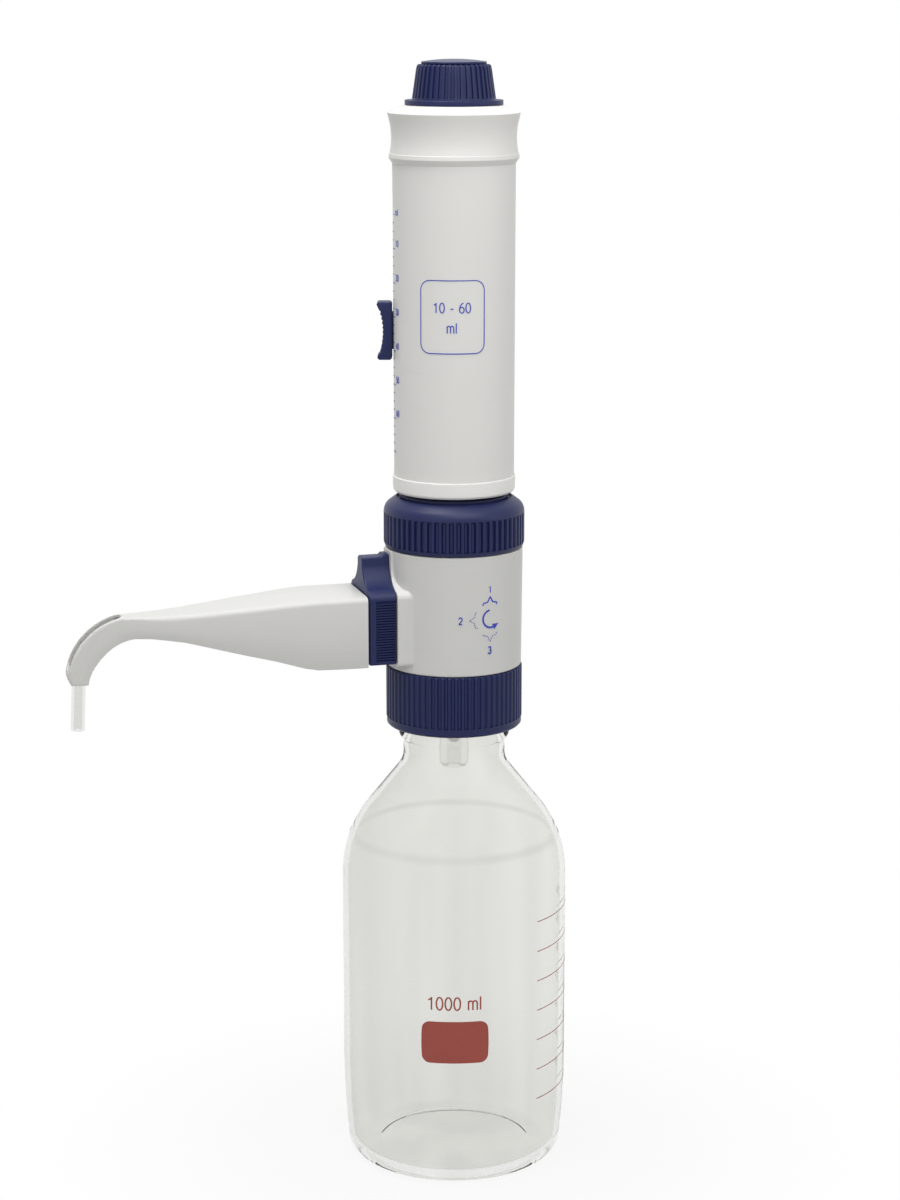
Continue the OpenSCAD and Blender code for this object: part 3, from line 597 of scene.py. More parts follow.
def build_collars():
    sizes = bpy.context.scene.dispenser_sizes
    low, high = 202.4, 229.7
    profile = rounded([
        (23.1, low), (29.2, low, 0.3), (30.05, low + 0.9, 0.3), (30.05, low + 3.2, 0.2)], 3)
    profile += [(30.05, low + 3.3), (30.3, low + 3.8), (30.3, low + 3.85), (30.3, low + 6),
                (30.3, high - 6), (30.3, high - 0.9)]
    profile += arc_points(29.5, high - 0.8, 0.8, 0, 90, 4)
    profile += [(20.3, high), (20.3, high - 1.5), (23.1, high - 1.5)]
    bm = merged(lathe(profile, sizes.collar_grooves * 12))
    for v in bm.verts:
        radius = math.hypot(v.co.x, v.co.y)
        if radius > 28 and v.co.z > low + 3.82:
            deep = 0.72 * groove(math.atan2(v.co.y, v.co.x), sizes.collar_grooves, 0.24)
            set_radius(v, min(radius, 30.3 - deep))
    piece("bottle_collar_grip", bm, "navy_moulding", "bottle_collar", ["bottle_collar"])

    low, high = corners("clamp_collar")[0][2], corners("clamp_collar")[1][2]
    grip = low + 15.2
    profile = rounded([(23.8, low), (30.1, low, 0.3), (30.75, low + 0.8, 0.4),
                       (30.75, low + 1.5, 0.2)], 3)
    profile += [(30.8, low + 1.7), (31.1, low + 1.9), (31.1, low + 1.95), (31.1, low + 8)]
    profile += [(31.1, grip + z) for z in (-1.0, -0.7, -0.4, -0.1, 0.2)]
    profile += arc_points(25.1, grip, 6, 3, 42, 10)
    profile += rounded([(29.56, grip + 4.01), (25.4, high - 0.9, 0.3), (24.9, high - 2.2),
                        (23.9, high - 2.2), (23.9, high), (18, high), (18, high - 4),
                        (23.8, high - 4)], 3)[1:]
    bm = merged(lathe(profile, sizes.clamp_grooves * 12))
    for v in bm.verts:
        radius = math.hypot(v.co.x, v.co.y)
        if radius > 29 and low + 1.92 < v.co.z < grip + 0.19:
            deep = 1.1 * min(1.0, (grip + 0.2 - v.co.z) / 1.2) ** 0.5
            deep *= groove(math.atan2(v.co.y, v.co.x), sizes.clamp_grooves, 0.22)
            set_radius(v, min(radius, 31.1 - deep))
    piece("clamp_collar_grip", bm, "navy_moulding", "clamp_collar", ["clamp_collar"])


def boss_half_width(z):
    """Half the width of the boss behind the knob, at a height above the selector's axis."""
    if z < -18 or z > 31.7:
        return 0.0
    if z < -15.6:
        return 16.0 + math.sqrt(max(0.0, 2.4 ** 2 - (z + 15.6) ** 2))
    if z < 12.5:
        return 18.4
    if z < 16:
        return 14.9 + math.sqrt(max(0.0, 3.5 ** 2 - (z - 12.5) ** 2))
    top = 6.2 + 9.5 * math.exp(-(z - 15.6) / 2.6)
    return min(14.9, top)


def build_shell():
    rows = [SHELL_LOW + 0.5 + 0.42 * k for k in range(int((SHELL_TOP - SHELL_LOW - 0.6) / 0.42))]
    span = SHELL_TOP - SHELL_LOW
    outer = [(29.9 + 0.5 * (z - SHELL_LOW) / span, z) for z in rows]
    profile = [(27.0, SHELL_LOW), (29.5, SHELL_LOW), (29.8, SHELL_LOW + 0.2)] + outer
    profile += [(30.3, SHELL_TOP - 0.15), (30.0, SHELL_TOP), (27.0, SHELL_TOP)]
    bm = lathe(profile, 240, start=132, turn=96)
    bm = merged(lathe(profile, 88, bm=bm, start=228, turn=264), 0.01)
    plane = -KNOB_BACK - 0.3
    for v in bm.verts:
        radius = math.hypot(v.co.x, v.co.y)
        half = boss_half_width(v.co.z - AXIS_Z)
        if radius < 28 or v.co.x > -1 or not half:
            continue
        lean = abs(math.atan2(v.co.y, -v.co.x))
        reach = min(plane / math.cos(lean), half / max(math.sin(lean), 0.01))
        spread = 1.1
        mixed = max(0.0, spread - abs(reach - radius)) / spread
        target = max(radius, reach) + mixed * mixed * spread / 4
        if abs(reach - radius) > spread and reach < radius:
            continue
        set_radius(v, target)
    # Its finish is the darker white, painted shade.
    piece("valve_shell_moulding", bm, "shell_moulding_painted_shade", "valve_head", ["valve_shell"], 40)


def knob_outline():
    """Outline of the pointer knob, y across and z up from its axis, as (y, z, is a rib's floor)."""
    half = [(0, -16.6, 0), (15.5, -16.6, 0), (16.6, -16.3, 0), (17, -15.4, 0)]
    pitch, count = 1.17, 23
    for k in range(count):
        z = -15.0 + k * pitch
        half += [(17, z, 0), (17, z + 0.34, 0), (17, z + 0.7, 1), (17, z + 1.05, 1)]
    half += [(x, z, 0) for x, z in arc_points(13.3, 12.3, 3.7, 0, 52, 6)]
    half += [(x, z, 0) for x, z in arc_points(16.0, 28.3, 12, 260, 190, 12)]
    half += [(x, z, 0) for x, z in rounded([(4.3, 28), (4.1, 30.3, 0.9), (0, 30.3)], 4)[1:]]
    return half + [(-y, z, rib) for y, z, rib in reversed(half[1:-1])]


def build_selector():
    outline = knob_outline()
    bm = bmesh.new()
    face = bm.faces.new([bm.verts.new((KNOB_BACK, y, AXIS_Z + z)) for y, z, rib in outline])
    layers = [(0.3, 0, 0, 0), (0.15, 0, 1, 0), (1.7, 0, 1, 0), (0.9, 0, 1, 0.95),
              (5.9, 0, 1, 1.0), (0.15, 0, 0, 1.0), (2.1, 0, 0, 1.0), (0.4, 0.12, 0, 1.1),
              (0.5, 0.6, 0, 1.5)]
    start = [v.co.copy() for v in face.verts]
    for v, co in zip(face.verts, start):
        v.co = inset_point(co, 0.3, 0)
    x = KNOB_BACK
    scale = (KNOB_BACK - KNOB_FRONT) / sum(layer[0] for layer in layers)
    for step, inset, ribbed, drop in layers:
        grown = bmesh.ops.extrude_face_region(bm, geom=[face])["geom"]
        face = next(g for g in grown if isinstance(g, bmesh.types.BMFace))
        x -= step * scale
        for v, co, spot in zip(ordered(face), start, outline):
            v.co = inset_point(co, inset, drop)
            v.co.x = x
            if ribbed and spot[2]:
                v.co.y -= math.copysign(0.75, v.co.y)
    bmesh.ops.recalc_face_normals(bm, faces=bm.faces)
    piece("selector_pointer", bm, "navy_moulding", "selector", ["selector_knob"], 28)


def ordered(face):
    """A face's corners, starting at the middle of its lower edge and going towards +Y."""
    verts = list(face.verts)
    first = min(range(len(verts)), key=lambda i: (round(verts[i].co.z, 2), abs(verts[i].co.y)))
    verts = verts[first:] + verts[:first]
    if verts[1].co.y < 0:
        verts = [verts[0]] + verts[:0:-1]
    return verts


def inset_point(co, by, drop):
    """A point of the knob's outline moved in towards its middle, its tip lowered by a drop."""
    y = co.y - math.copysign(min(by, abs(co.y)), co.y)
    z = co.z - AXIS_Z
    z = z + by if z < -16 else z - drop * max(0.0, min(1.0, (z - 24) / 5))
    return Vector((co.x, y, AXIS_Z + z))


BEND = 23.0
RISE = 2.8
NOZZLE_REACH = 168.0
NOZZLE_LENGTH = 22.7
TUBE_START = 56.0
TUBE_RADIUS = 3.0
TUBE_BORE = 1.8


def bend_centre():
    """Middle of the tube's bend, in X and Z."""
    low = corners("discharge_tube")[0]
    t = math.radians(RISE)
    tip_z = low[2] + TUBE_RADIUS * math.sin(t)
    x = -NOZZLE_REACH + BEND * math.cos(t)
    return x, tip_z + NOZZLE_LENGTH * math.cos(t) - BEND * math.sin(t)


def build_tube():
    x, z = bend_centre()
    rise = math.radians(RISE)
    length = NOZZLE_REACH - TUBE_START - BEND * (math.sin(rise) + math.cos(rise))
    length /= math.cos(rise)
    tilt = Matrix.Translation((x, 0, z)) @ Matrix.Rotation(rise, 4, "Y")
    straight = Matrix.Rotation(-math.pi / 2, 4, "Y")
    places = [tilt @ Matrix.Translation((s, 0, BEND)) @ straight for s in (length, length / 2)]
    for k in range(25):
        turn = math.pi / 2 * k / 24
        spin = Matrix.Rotation(-turn, 4, "Y")
        places.append(tilt @ spin @ Matrix.Translation((0, 0, BEND)) @ straight)
    places += [tilt @ Matrix.Translation((-BEND, 0, -h)) @ Matrix.Rotation(math.pi, 4, "Y")
               for h in (11.0, NOZZLE_LENGTH)]
    bm = bmesh.new()
    outer = sweep(bm, TUBE_RADIUS, places)
    inner = sweep(bm, TUBE_BORE, places)
    for a, b in zip(outer, inner):
        bmesh.ops.bridge_loops(bm, edges=list(a) + list(b))
    piece("discharge_tube_clear", merged(bm), "tube_plastic", "valve_head", ["discharge_tube"],
          50)


SLOT_HALF = 3.7
SLOT_TURNS = (97.9, 169.3)
SLOT_STEPS = 39
MOUTH_TURN = 177.2
# How far the outside stands out on the four rows past the slot
LIP = {1: 0.4, 2: 0.15, 3: -0.4, 4: -1.0}
SLOT_RIM = 0.5


def spout_rows():
    """Rows of the spout's skin: low point, high point, half width and turn round the bend."""
    tail = [(-43.7, 17, 14.3, 17.5), (-55, 16.9, 14.3, 17.5), (-66, 16.6, 14.25, 17.45),
            (-72, 15.5, 14.0, 17.1), (-84, 12.0, 13.0, 15.7), (-98, 8.6, 11.8, 14.0),
            (-111, 5.3, 10.7, 12.0), (-123, 2.3, 9.7, 9.9), (-131, 1.2, 9.45, 8.3),
            (-137, 0.5, 9.2, 7.0)]
    rows = [(Vector((x, AXIS_Z - low)), Vector((x, AXIS_Z + high)), half, None)
            for x, low, high, half in tail]
    cx, cz = bend_centre()
    step = (SLOT_TURNS[1] - SLOT_TURNS[0]) / SLOT_STEPS
    for k in range(-6, SLOT_STEPS + 5):
        turn = SLOT_TURNS[0] + step * k
        if k > SLOT_STEPS:
            turn = SLOT_TURNS[1] + (MOUTH_TURN - SLOT_TURNS[1]) * (k - SLOT_STEPS) / 4
        t = math.radians(turn)
        ends = max(0.0, (turn - 160) / 17.2) ** 2
        inside = BEND - 6 + (1.6 if turn < 132 else 2.9) * ((turn - 132) / 48) ** 2
        outside = BEND + 4.4 + 0.5 * ((turn - 130) / 50) ** 2 + LIP.get(k - SLOT_STEPS, 0)
        half = 5 + 0.9 * (max(0, 108 - turn) / 24) ** 2
        low, high = t + math.radians(5.5 * ends), t + math.radians(4.5 * ends)
        rows.append((Vector((cx + inside * math.cos(low), cz + inside * math.sin(low))),
                     Vector((cx + outside * math.cos(high), cz + outside * math.sin(high))),
                     half, turn))
    return rows


def slot_width(turn):
    """Half the slot's width at a turn round the bend: round at both ends."""
    if turn is None:
        return SLOT_HALF
    way = min(turn - SLOT_TURNS[0], SLOT_TURNS[1] - turn)
    way = math.radians(way) * (BEND + 4)
    if way < -0.01:
        return SLOT_HALF
    return math.sqrt(max(0.0, SLOT_HALF ** 2 - max(0.0, SLOT_HALF - max(way, 0.02)) ** 2))


def spout_section(half, high, slot):
    """Points across the spout from its lower edge on one side over its roof to the other."""
    corner = 2.5 if half > 8 else 0.7 + 1.8 * max(0.0, half - 5) / 3
    side = [(half, 0), (half, (high - corner) * 0.5), (half, high - corner)]
    side += [(half - corner + corner * math.cos(math.radians(a)),
              high - corner + corner * math.sin(math.radians(a))) for a in (22.5, 45, 67.5, 90)]
    side.append((min(4.1, half - corner - 0.1), high))
    return ([(-x, y) for x, y in side] + [(slot * k, high) for k in (-1, -0.7, 0, 0.7, 1)]
            + [(x, y) for x, y in reversed(side)])


def build_spout():
    rows = spout_rows()
    columns = len(spout_section(10, 10, 1))
    middle = range(8, 13)
    bm = bmesh.new()
    made = bmesh.ops.create_grid(bm, x_segments=columns - 1, y_segments=len(rows) - 1, size=1)
    spots = {}
    for v in made["verts"]:
        i = round((v.co.y + 1) / 2 * (len(rows) - 1))
        j = round((v.co.x + 1) / 2 * (columns - 1))
        low, high, half, turn = rows[i]
        up = high - low
        y, h = spout_section(half, up.length, slot_width(turn))[j]
        slotted = turn is not None and SLOT_TURNS[0] - 0.1 < turn < SLOT_TURNS[1] + 0.1
        if slotted and 3 <= j <= 17:
            h += SLOT_RIM
        spot = low + up.normalized() * h
        v.co = (spot.x, y, spot.y)
        spots[v] = (slotted, j)
    gone = [f for f in bm.faces if all(spots[v][0] and spots[v][1] in middle for v in f.verts)]
    bmesh.ops.delete(bm, geom=gone, context="FACES")
    bmesh.ops.remove_doubles(bm, verts=bm.verts, dist=0.03)
    bmesh.ops.recalc_face_normals(bm, faces=bm.faces)
    roof = max(bm.faces, key=lambda f: f.calc_center_median().z)
    if roof.normal.z < 0:
        bmesh.ops.reverse_faces(bm, faces=bm.faces)
    # The spout takes the darker white too, painted shade.
    made = piece("spout_moulding", bm, "shell_moulding_painted_shade", "valve_head", ["spout_cover"], 40)
    wall = made.modifiers.new("wall", "SOLIDIFY")
    wall.thickness = 1.15 * MM
    wall.offset = -1
    wall.use_even_offset = True
    edge = made.modifiers.new("edge", "BEVEL")
    edge.width = 0.2 * MM
    edge.segments = 2
    edge.limit_method = "ANGLE"
    edge.angle_limit = math.radians(50)


def build_housing():
    bore, low, top = 24.4, TUBE_LOW, TUBE_TOP
    outer = lambda z: 26.4 + 0.25 * (z - low) / (top - low)
    slot_low, slot_high = low + 2.2, low + 124.2
    heights = [low, slot_low + 3, slot_high - 3, top]
    profile = [(outer(z), z) for z in heights] + [(bore, z) for z in reversed(heights)]
    bm = merged(lathe(profile, 180))
    axis = math.radians(SLOT_AXIS)
    bmesh.ops.rotate(bm, verts=bm.verts, matrix=Matrix.Rotation(axis, 3, "Z"))
    tagged = {}
    for v in bm.verts:
        angle = math.remainder(math.atan2(v.co.y, v.co.x) - axis, math.tau)
        column = round(math.degrees(angle) / 2)
        row = min(range(4), key=lambda i: abs(heights[i] - v.co.z))
        tagged[v] = (column, row)
        if abs(column) > 3:
            continue
        radius = math.hypot(v.co.x, v.co.y)
        side = math.sin(math.pi / 2 * column / 3) * 3
        turn = axis + math.asin(side / radius)
        v.co.x, v.co.y = radius * math.cos(turn), radius * math.sin(turn)
        back = math.sqrt(max(0.0, 9 - side * side))
        if row in (1, 2):
            v.co.z += back if row == 2 else -back
    gone = [f for f in bm.faces if all(abs(tagged[v][0]) <= 3 and tagged[v][1] in (1, 2)
                                       for v in f.verts)]
    bmesh.ops.delete(bm, geom=gone, context="FACES")
    bmesh.ops.bridge_loops(bm, edges=[e for e in bm.edges if e.is_boundary])
    bmesh.ops.recalc_face_normals(bm, faces=bm.faces)
    piece("housing_sleeve", bm, "white_moulding", "plunger", ["housing_tube"], 40)

    ring_low = corners("guide_ring")[0][2]
    profile = rounded([(17.8, ring_low), (26.1, ring_low, 0.6), (26.8, ring_low + 1.0, 0.8),
                       (26.98, low - 0.5), (26.98, low, 0.55), (26.0, low - 0.02),
                       (22, low - 0.02),
                       (22, ring_low + 3), (17.8, ring_low + 3)], 6)
    # The foot carries the lightened white finish, a painted highlight.
    piece("housing_foot", merged(lathe(profile, 160)), "ring_moulding_painted_light", "plunger",
          ["guide_ring"])


def build_cap():
    low, top = TUBE_TOP, CAP_TOP
    profile = [(22.6, low - 4), (24.3, low - 4), (24.3, low), (26.55, low)]
    profile += rounded([(26.55, low), (28.25, low + 2.5, 0.45), (28.0, low + 4.2)], 5)[1:]
    profile += [(58.25 - math.sqrt(31.2 ** 2 - (low + 11.1 - z) ** 2), z)
                for z in [low + 4.4 + 0.8 * k for k in range(19)]]
    profile += rounded([(28.2, low + 19.6), (28.75, low + 21.6, 0.35), (21.6, top, 0.4),
                        (5.0, top)], 5)[1:]
    profile += [(5.0, top - 3), (19.6, top - 3), (22.6, top - 4.6)]
    piece("housing_crown", merged(lathe(profile, 160)), "white_moulding", "plunger",
          ["housing_cap"])


def build_top_knob():
    sizes = bpy.context.scene.dispenser_sizes
    low = corners("top_knob")[0][2]
    base, top = low + 2.0, low + 17.0
    r0, r1, flute_start = 18.1, 15.95, 14.9
    profile = rounded([(15.9, low), (21.2, low, 0.25), (21.2, base, 0.35), (18.3, base, 0.2)], 3)
    profile += [(r0, base + 0.15)]
    profile += [(r0 + (r1 - r0) * t, base + 15 * t) for t in (0.06, 0.065, 0.3, 0.6, 0.85)]
    profile += arc_points(r1 - 1.1, top - 1.15, 1.15, 5, 90, 7)
    profile += [(14.2, top), (14.2, top - 1.2), (0.01, top - 1.2), (0.01, top - 3.4),
                (r1 - 2.2, top - 3.4), (15.9, base)]
    bm = merged(lathe(profile, sizes.knob_grooves * 10), 0.002)
    for v in bm.verts:
        radius = math.hypot(v.co.x, v.co.y)
        if radius < flute_start or v.co.z < base + 0.94:
            continue
        fade = min(1.0, max(0.0, (radius - flute_start) / 0.3))
        deep = 0.8 * fade * groove(math.atan2(v.co.y, v.co.x), sizes.knob_grooves, 0.4)
        set_radius(v, radius - deep)
    piece("top_knob_grip", bm, "navy_moulding", "top_knob", ["top_knob"])
    base = top - 1.2
    profile = [(0, base), (13.8, base), (13.8, base + 1.3), (14.05, base + 1.6),
               (14.05, base + 2.1), (13.85, base + 2.35), (13.5, base + 2.42)]
    profile += [(13.3 * t, base + 3.4 - 1.0 * t ** 2.2) for t in (1, 0.92, 0.8, 0.6, 0.4, 0.2, 0)]
    bm = merged(lathe(profile, 128, closed=False))
    # Only the dome's top takes the lighter disc finish, a painted highlight; the faces below it go
    # back to the blue.
    made = piece("top_knob_disc", bm, "disc_painted_highlight", "top_knob", ["knob_disc"])
    made.data.materials.append(finish("navy_moulding"))
    for face in made.data.polygons:
        if face.center.z < (base + 2.38) * MM:
            face.material_index = 1


def build_slider():
    half, count, pitch = 12.5, 10, 1.95
    out = lambda z: 4 + 2.4 * (z / half) ** 2 + 0.024 * max(0, z)
    outline = [(0, -half + 0.8), (0.8, -half), (out(-half) - 0.8, -half),
               (out(-half), -half + 0.8), (out(-half) - 0.05, -half + 1.6)]
    for k in range(count):
        z = -count * pitch / 2 + k * pitch
        outline += [(out(z), z), (out(z) - 0.55, z + 0.5), (out(z + 1.2), z + 1.25)]
    outline += [(out(half), half - 0.8), (out(half) - 0.8, half), (0.8, half), (0, half - 0.8)]
    start = 26.95
    flat = [(start + x, z) for x, z in outline]
    turn = Matrix.Rotation(math.radians(SLOT_AXIS), 4, "Z")
    place = turn @ Matrix.Translation((0, 5, SLIDER_Z)) @ Matrix.Rotation(math.pi / 2, 4, "X")
    bm = slab(flat, place, 10)
    soften(bm, 0.3, 2, 50)
    neck = bmesh.new()
    made = bmesh.ops.create_cube(neck, size=1)
    bmesh.ops.scale(neck, vec=(4.6, 5.4, 16), verts=made["verts"])
    bmesh.ops.translate(neck, vec=(24.9, 0, SLIDER_Z), verts=made["verts"])
    bmesh.ops.transform(neck, matrix=turn, verts=made["verts"])
    join(bm, neck)
    piece("slider_thumb", bm, "navy_moulding", "volume_slider", ["volume_slider"])


def build_housing_print():
    wall = 26.6
    bm = bmesh.new()
    box = rounded_box(28.4, 31.2, 4.2)
    ring = subdivided(box + box[:1], 1.2)[:-1]
    stroke(bm, ring, 0.42, closed=True)
    lettering(bm, "10 - 60", 4.4, 0, 4.0)
    lettering(bm, "ml", 4.4, 0, -4.6)
    wrapped(bm, wall, VIEW_TURN - 1.6, 387)
    scale = bmesh.new()
    for k in range(31):
        z = 429.1 - 14.72 * k / 4
        if z < 326:
            break
        long_mark = k % 4 == 0
        stroke(scale, [(4.2, z), (8.2 if long_mark else 6.4, z)], 0.42)
    lettering(scale, "ml", 2.8, 10.6, 430.2, 0.14)
    for k in range(1, 7):
        lettering(scale, str(k * 10), 2.7, 10.8, 431.6 - 14.72 * k, 0.15)
    wrapped(scale, wall, SLOT_TURN, 0)
    join(bm, scale)
    piece("housing_print", bm, "blue_ink", "plunger")


def pointer_mark(bm, x, y, spin, dotted):
    """A small outline of the selector's pointer, turned by quarter turns."""
    shape = [(-3.6, -1.5), (-3.3, -0.5), (-1.3, -0.1), (0, 2.3), (1.3, -0.1), (3.3, -0.5),
             (3.6, -1.5)]
    turn = Matrix.Rotation(math.radians(spin), 2)
    line = subdivided([tuple(turn @ Vector(p) + Vector((x, y))) for p in shape], 0.5)
    if not dotted:
        stroke(bm, line, 0.62)
        return
    for a, b in list(zip(line, line[1:]))[::2]:
        stroke(bm, [a, b], 0.36)


def build_valve_print():
    bm = bmesh.new()
    pointer_mark(bm, 0, 12.0, 0, False)
    pointer_mark(bm, -7.6, 4.2, 90, True)
    pointer_mark(bm, 0, -3.4, 180, True)
    arrow = arc_points(0.4, 4.4, 3.9, 100, 300, 20)
    stroke(bm, arrow, 0.8)
    tip = Vector(arrow[-1])
    along = (tip - Vector(arrow[-2])).normalized()
    side = Vector((-along.y, along.x))
    head = [tip - along * 0.8 + side * 1.4, tip + along * 2.3, tip - along * 0.8 - side * 1.4]
    raise_faces(bm, [bm.faces.new([bm.verts.new((*p, 0)) for p in head])], INK)
    lettering(bm, "1", 3.2, 0, 17.6, 0.17)
    lettering(bm, "2", 3.2, -13.6, 4.2, 0.17)
    lettering(bm, "3", 3.2, 0, -9.6, 0.17)
    wrapped(bm, 30.2, 15.5, 251.0)
    piece("valve_print", bm, "blue_ink", "valve_head")


INNER_FINISHES = {
    "milky_plastic": ("filling_valve",),
    "white_inner": ("valve_block", "guard_foot", "valve_plug", "discharge_spigot",
                    "spout_base", "cylinder_guard", "piston_crown", "piston_rod",
                    "slider_shoe", "stop_ring"),
    "pale_seal": ("neck_seal",),
    "dark_seal": ("plug_seals", "cylinder_seal"),
    "cylinder_glass": ("glass_cylinder",),
    "polished_metal": ("filling_ball", "discharge_ball", "discharge_seat", "rod_nut"),
}


def dress_inner():
    for name, nodes in INNER_FINISHES.items():
        for node in nodes:
            mesh = frame["nodes"][node].data
            mesh.materials.clear()
            mesh.materials.append(finish(name))


def build_stage():
    scene = bpy.context.scene
    bm = bmesh.new()
    bmesh.ops.create_grid(bm, x_segments=2, y_segments=2, size=4.0)
    mesh = bpy.data.meshes.new("bench")
    bm.to_mesh(mesh)
    bm.free()
    bench = bpy.data.objects.new("bench", mesh)
    scene.collection.objects.link(bench)
    material = bpy.data.materials.new("bench_white")
    graph = Graph(material)
    where = graph.node("ShaderNodeTexCoord", out="Object")
    reach = graph.node("ShaderNodeVectorMath", {"operation": "LENGTH"}, {0: where}, out="Value")
    grain = graph.noise(where, 300, 2)
    near = graph.node("ShaderNodeBsdfDiffuse", {},
                      {"Color": graph.mix(grain, (0.58, 0.58, 0.575), (0.62, 0.62, 0.615))})
    far = graph.node("ShaderNodeEmission", {}, {"Color": (1, 1, 1, 1), "Strength": 1.0})
    share = graph.seen() * (reach.ramp(0.05, 0.22) * 0.1 + 0.9)
    blend = graph.node("ShaderNodeMixShader", {}, {0: share, 1: near, 2: far})
    graph.node("ShaderNodeOutputMaterial", {}, {"Surface": blend})
    mesh.materials.append(material)

    world = bpy.data.worlds.new("studio")
    scene.world = world
    graph = Graph(world)
    seen = graph.seen()
    soft = graph.node("ShaderNodeBackground", {}, {"Color": (1, 1, 1, 1), "Strength": 0.3})
    white = graph.node("ShaderNodeBackground", {}, {"Color": (1, 1, 1, 1), "Strength": 1.0})
    blend = graph.node("ShaderNodeMixShader", {}, {0: seen, 1: soft, 2: white})
    graph.node("ShaderNodeOutputWorld", {}, {"Surface": blend})

    for name, place, size, power in (("front_top_box", (0.02, -0.5, 1.0), 0.8, 4.7),
                                     ("overhead", (-0.6, 0.0, 2.3), 1.0, 20.0),
                                     ("left_box", (-1.1, -0.9, 0.8), 0.6, 1.1),
                                     ("right_fill", (1.2, -0.9, 0.7), 0.8, 1.8)):
        lamp = bpy.data.lights.new(name, "AREA")
        lamp.shape = "SQUARE"
        lamp.size = size
        lamp.energy = power
        holder = bpy.data.objects.new(name, lamp)
        scene.collection.objects.link(holder)
        aim = Vector((-0.02, 0, 0.25)) - Vector(place)
        facing = aim.to_track_quat("-Z", "Y").to_matrix().to_4x4()
        holder.matrix_world = Matrix.Translation(place) @ facing

    view = bpy.data.cameras.new("photo_view")
    view.sensor_width = 36.0
    view.lens = 84.66
    view.shift_x = -4 / 1200
    view.clip_end = 50.0
    camera = bpy.data.objects.new("photo_view", view)
    scene.collection.objects.link(camera)
    turn, tilt = math.radians(VIEW_TURN), math.radians(12.33)
    spot = Vector((1.226 * math.sin(turn), -1.226 * math.cos(turn), 0.5261))
    camera.matrix_world = (Matrix.Translation(spot) @ Matrix.Rotation(turn, 4, "Z")
                           @ Matrix.Rotation(math.pi / 2 - tilt, 4, "X"))
    scene.camera = camera
    scene.view_settings.view_transform = "Standard"


# Add-on classes


class DispenserSizes(bpy.types.PropertyGroup):
    collar_grooves: bpy.props.IntProperty(
        name="Bottle collar grooves", description="Grooves round the bottle collar's grip",
        default=64, min=20, max=90)
    clamp_grooves: bpy.props.IntProperty(
        name="Clamp collar grooves", description="Grooves round the clamp collar's grip",
        default=60, min=20, max=90)
    knob_grooves: bpy.props.IntProperty(
        name="Top knob flutes", description="Flutes round the knob on top",
        default=40, min=20, max=60)


class DispenserColours(bpy.types.PropertyGroup):
    blue: bpy.props.FloatVectorProperty(
        name="Blue mouldings", description="Colour of the collars, knobs and slider",
        subtype="COLOR", default=(0.0062, 0.012, 0.074), min=0, max=1)
    # Lighter than the blue mouldings: a painted highlight on the dome of the top knob's disc.
    disc: bpy.props.FloatVectorProperty(
        name="Knob disc", description="Colour of the domed disc on the top knob",
        subtype="COLOR", default=(0.05, 0.062, 0.12), min=0, max=1)
    white: bpy.props.FloatVectorProperty(
        name="White mouldings", description="Colour of the housing, its cap and its foot",
        subtype="COLOR", default=(0.81, 0.803, 0.78), min=0, max=1)
    # Kept darker than the white mouldings: painted shade on the shell and spout.
    shell: bpy.props.FloatVectorProperty(
        name="Shell and spout", description="Colour of the valve shell and the spout",
        subtype="COLOR", default=(0.7, 0.695, 0.675), min=0, max=1)
    glass: bpy.props.FloatVectorProperty(
        name="Glass", description="Tint of the bottle's glass",
        subtype="COLOR", default=(0.888, 0.888, 0.868), min=0, max=1)
    tube: bpy.props.FloatVectorProperty(
        name="Clear tube", description="Tint of the discharge tube",
        subtype="COLOR", default=(0.84, 0.84, 0.83), min=0, max=1)
    blue_ink: bpy.props.FloatVectorProperty(
        name="Blue print", description="Colour of the scale and the valve marks",
        subtype="COLOR", default=(0.03, 0.05, 0.4), min=0, max=1)
    brown_ink: bpy.props.FloatVectorProperty(
        name="Bottle print", description="Colour of the marks on the bottle",
        subtype="COLOR", default=(0.3, 0.055, 0.04), min=0, max=1)


class DISPENSER_OT_bottle(bpy.types.Operator):
    """Blown glass bottle with its thread and printed marks"""

    bl_idname = "dispenser.bottle"
    bl_label = "Bottle"

    def execute(self, context):
        build_bottle()
        build_bottle_print()
        return {"FINISHED"}


class DISPENSER_OT_collars(bpy.types.Operator):
    """Both grooved union nuts"""

    bl_idname = "dispenser.collars"
    bl_label = "Collars"

    def execute(self, context):
        build_collars()
        return {"FINISHED"}


class DISPENSER_OT_valve_head(bpy.types.Operator):
    """Valve shell with its boss, and the marks for the selector"""

    bl_idname = "dispenser.valve_head"
    bl_label = "Valve head"

    def execute(self, context):
        build_shell()
        build_valve_print()
        return {"FINISHED"}


class DISPENSER_OT_selector(bpy.types.Operator):
    """Pointer knob with ribbed sides"""

    bl_idname = "dispenser.selector"
    bl_label = "Selector"

    def execute(self, context):
        build_selector()
        return {"FINISHED"}


class DISPENSER_OT_spout(bpy.types.Operator):
    """Spout with its slotted nose, and the clear tube in it"""

    bl_idname = "dispenser.spout"
    bl_label = "Spout"

    def execute(self, context):
        build_spout()
        build_tube()
        return {"FINISHED"}


class DISPENSER_OT_housing(bpy.types.Operator):
    """Housing with its slot, foot ring, cap and printed scale"""

    bl_idname = "dispenser.housing"
    bl_label = "Housing"

    def execute(self, context):
        build_housing()
        build_cap()
        build_housing_print()
        return {"FINISHED"}


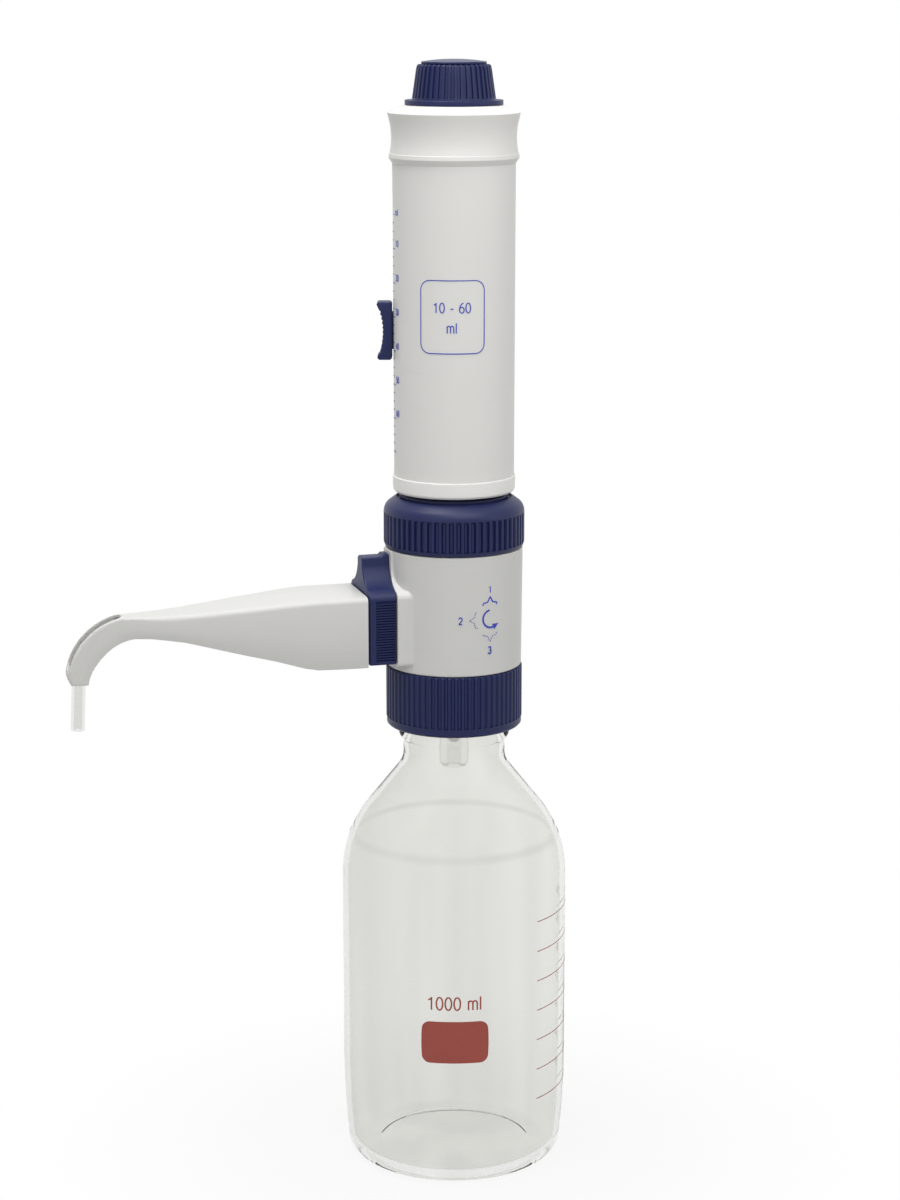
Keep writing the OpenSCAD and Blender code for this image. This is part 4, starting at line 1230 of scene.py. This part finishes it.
class DISPENSER_OT_controls(bpy.types.Operator):
    """Volume slider and the knob on top"""

    bl_idname = "dispenser.controls"
    bl_label = "Slider and top knob"

    def execute(self, context):
        build_slider()
        build_top_knob()
        return {"FINISHED"}


class DISPENSER_OT_inner_parts(bpy.types.Operator):
    """Finishes of the valves, seals and piston inside"""

    bl_idname = "dispenser.inner_parts"
    bl_label = "Inner parts"

    def execute(self, context):
        dress_inner()
        return {"FINISHED"}


class DISPENSER_OT_stage(bpy.types.Operator):
    """Pale bench, soft studio light and the camera"""

    bl_idname = "dispenser.stage"
    bl_label = "Stage"

    def execute(self, context):
        build_stage()
        return {"FINISHED"}


STEPS = (DISPENSER_OT_bottle, DISPENSER_OT_collars, DISPENSER_OT_valve_head,
         DISPENSER_OT_selector, DISPENSER_OT_spout, DISPENSER_OT_housing,
         DISPENSER_OT_controls, DISPENSER_OT_inner_parts, DISPENSER_OT_stage)


class DISPENSER_PT_panel(bpy.types.Panel):
    """Sizes, colours and building steps of the dispenser"""

    bl_idname = "DISPENSER_PT_panel"
    bl_label = "Dispenser"
    bl_space_type = "VIEW_3D"
    bl_region_type = "UI"
    bl_category = "Dispenser"

    def draw(self, context):
        for group in (context.scene.dispenser_sizes, context.scene.dispenser_colours):
            for key in group.bl_rna.properties.keys():
                if key not in ("rna_type", "name"):
                    self.layout.prop(group, key)
        for step in STEPS:
            self.layout.operator(step.bl_idname)


CLASSES = (DispenserSizes, DispenserColours, *STEPS, DISPENSER_PT_panel)


def register():
    for cls in CLASSES:
        bpy.utils.register_class(cls)
    bpy.types.Scene.dispenser_sizes = bpy.props.PointerProperty(type=DispenserSizes)
    bpy.types.Scene.dispenser_colours = bpy.props.PointerProperty(type=DispenserColours)


def unregister():
    del bpy.types.Scene.dispenser_colours
    del bpy.types.Scene.dispenser_sizes
    for cls in reversed(CLASSES):
        bpy.utils.unregister_class(cls)


def main():
    register()
    for step in STEPS:
        group, name = step.bl_idname.split(".")
        getattr(getattr(bpy.ops, group), name)()


if __name__ == "__main__":
    main()
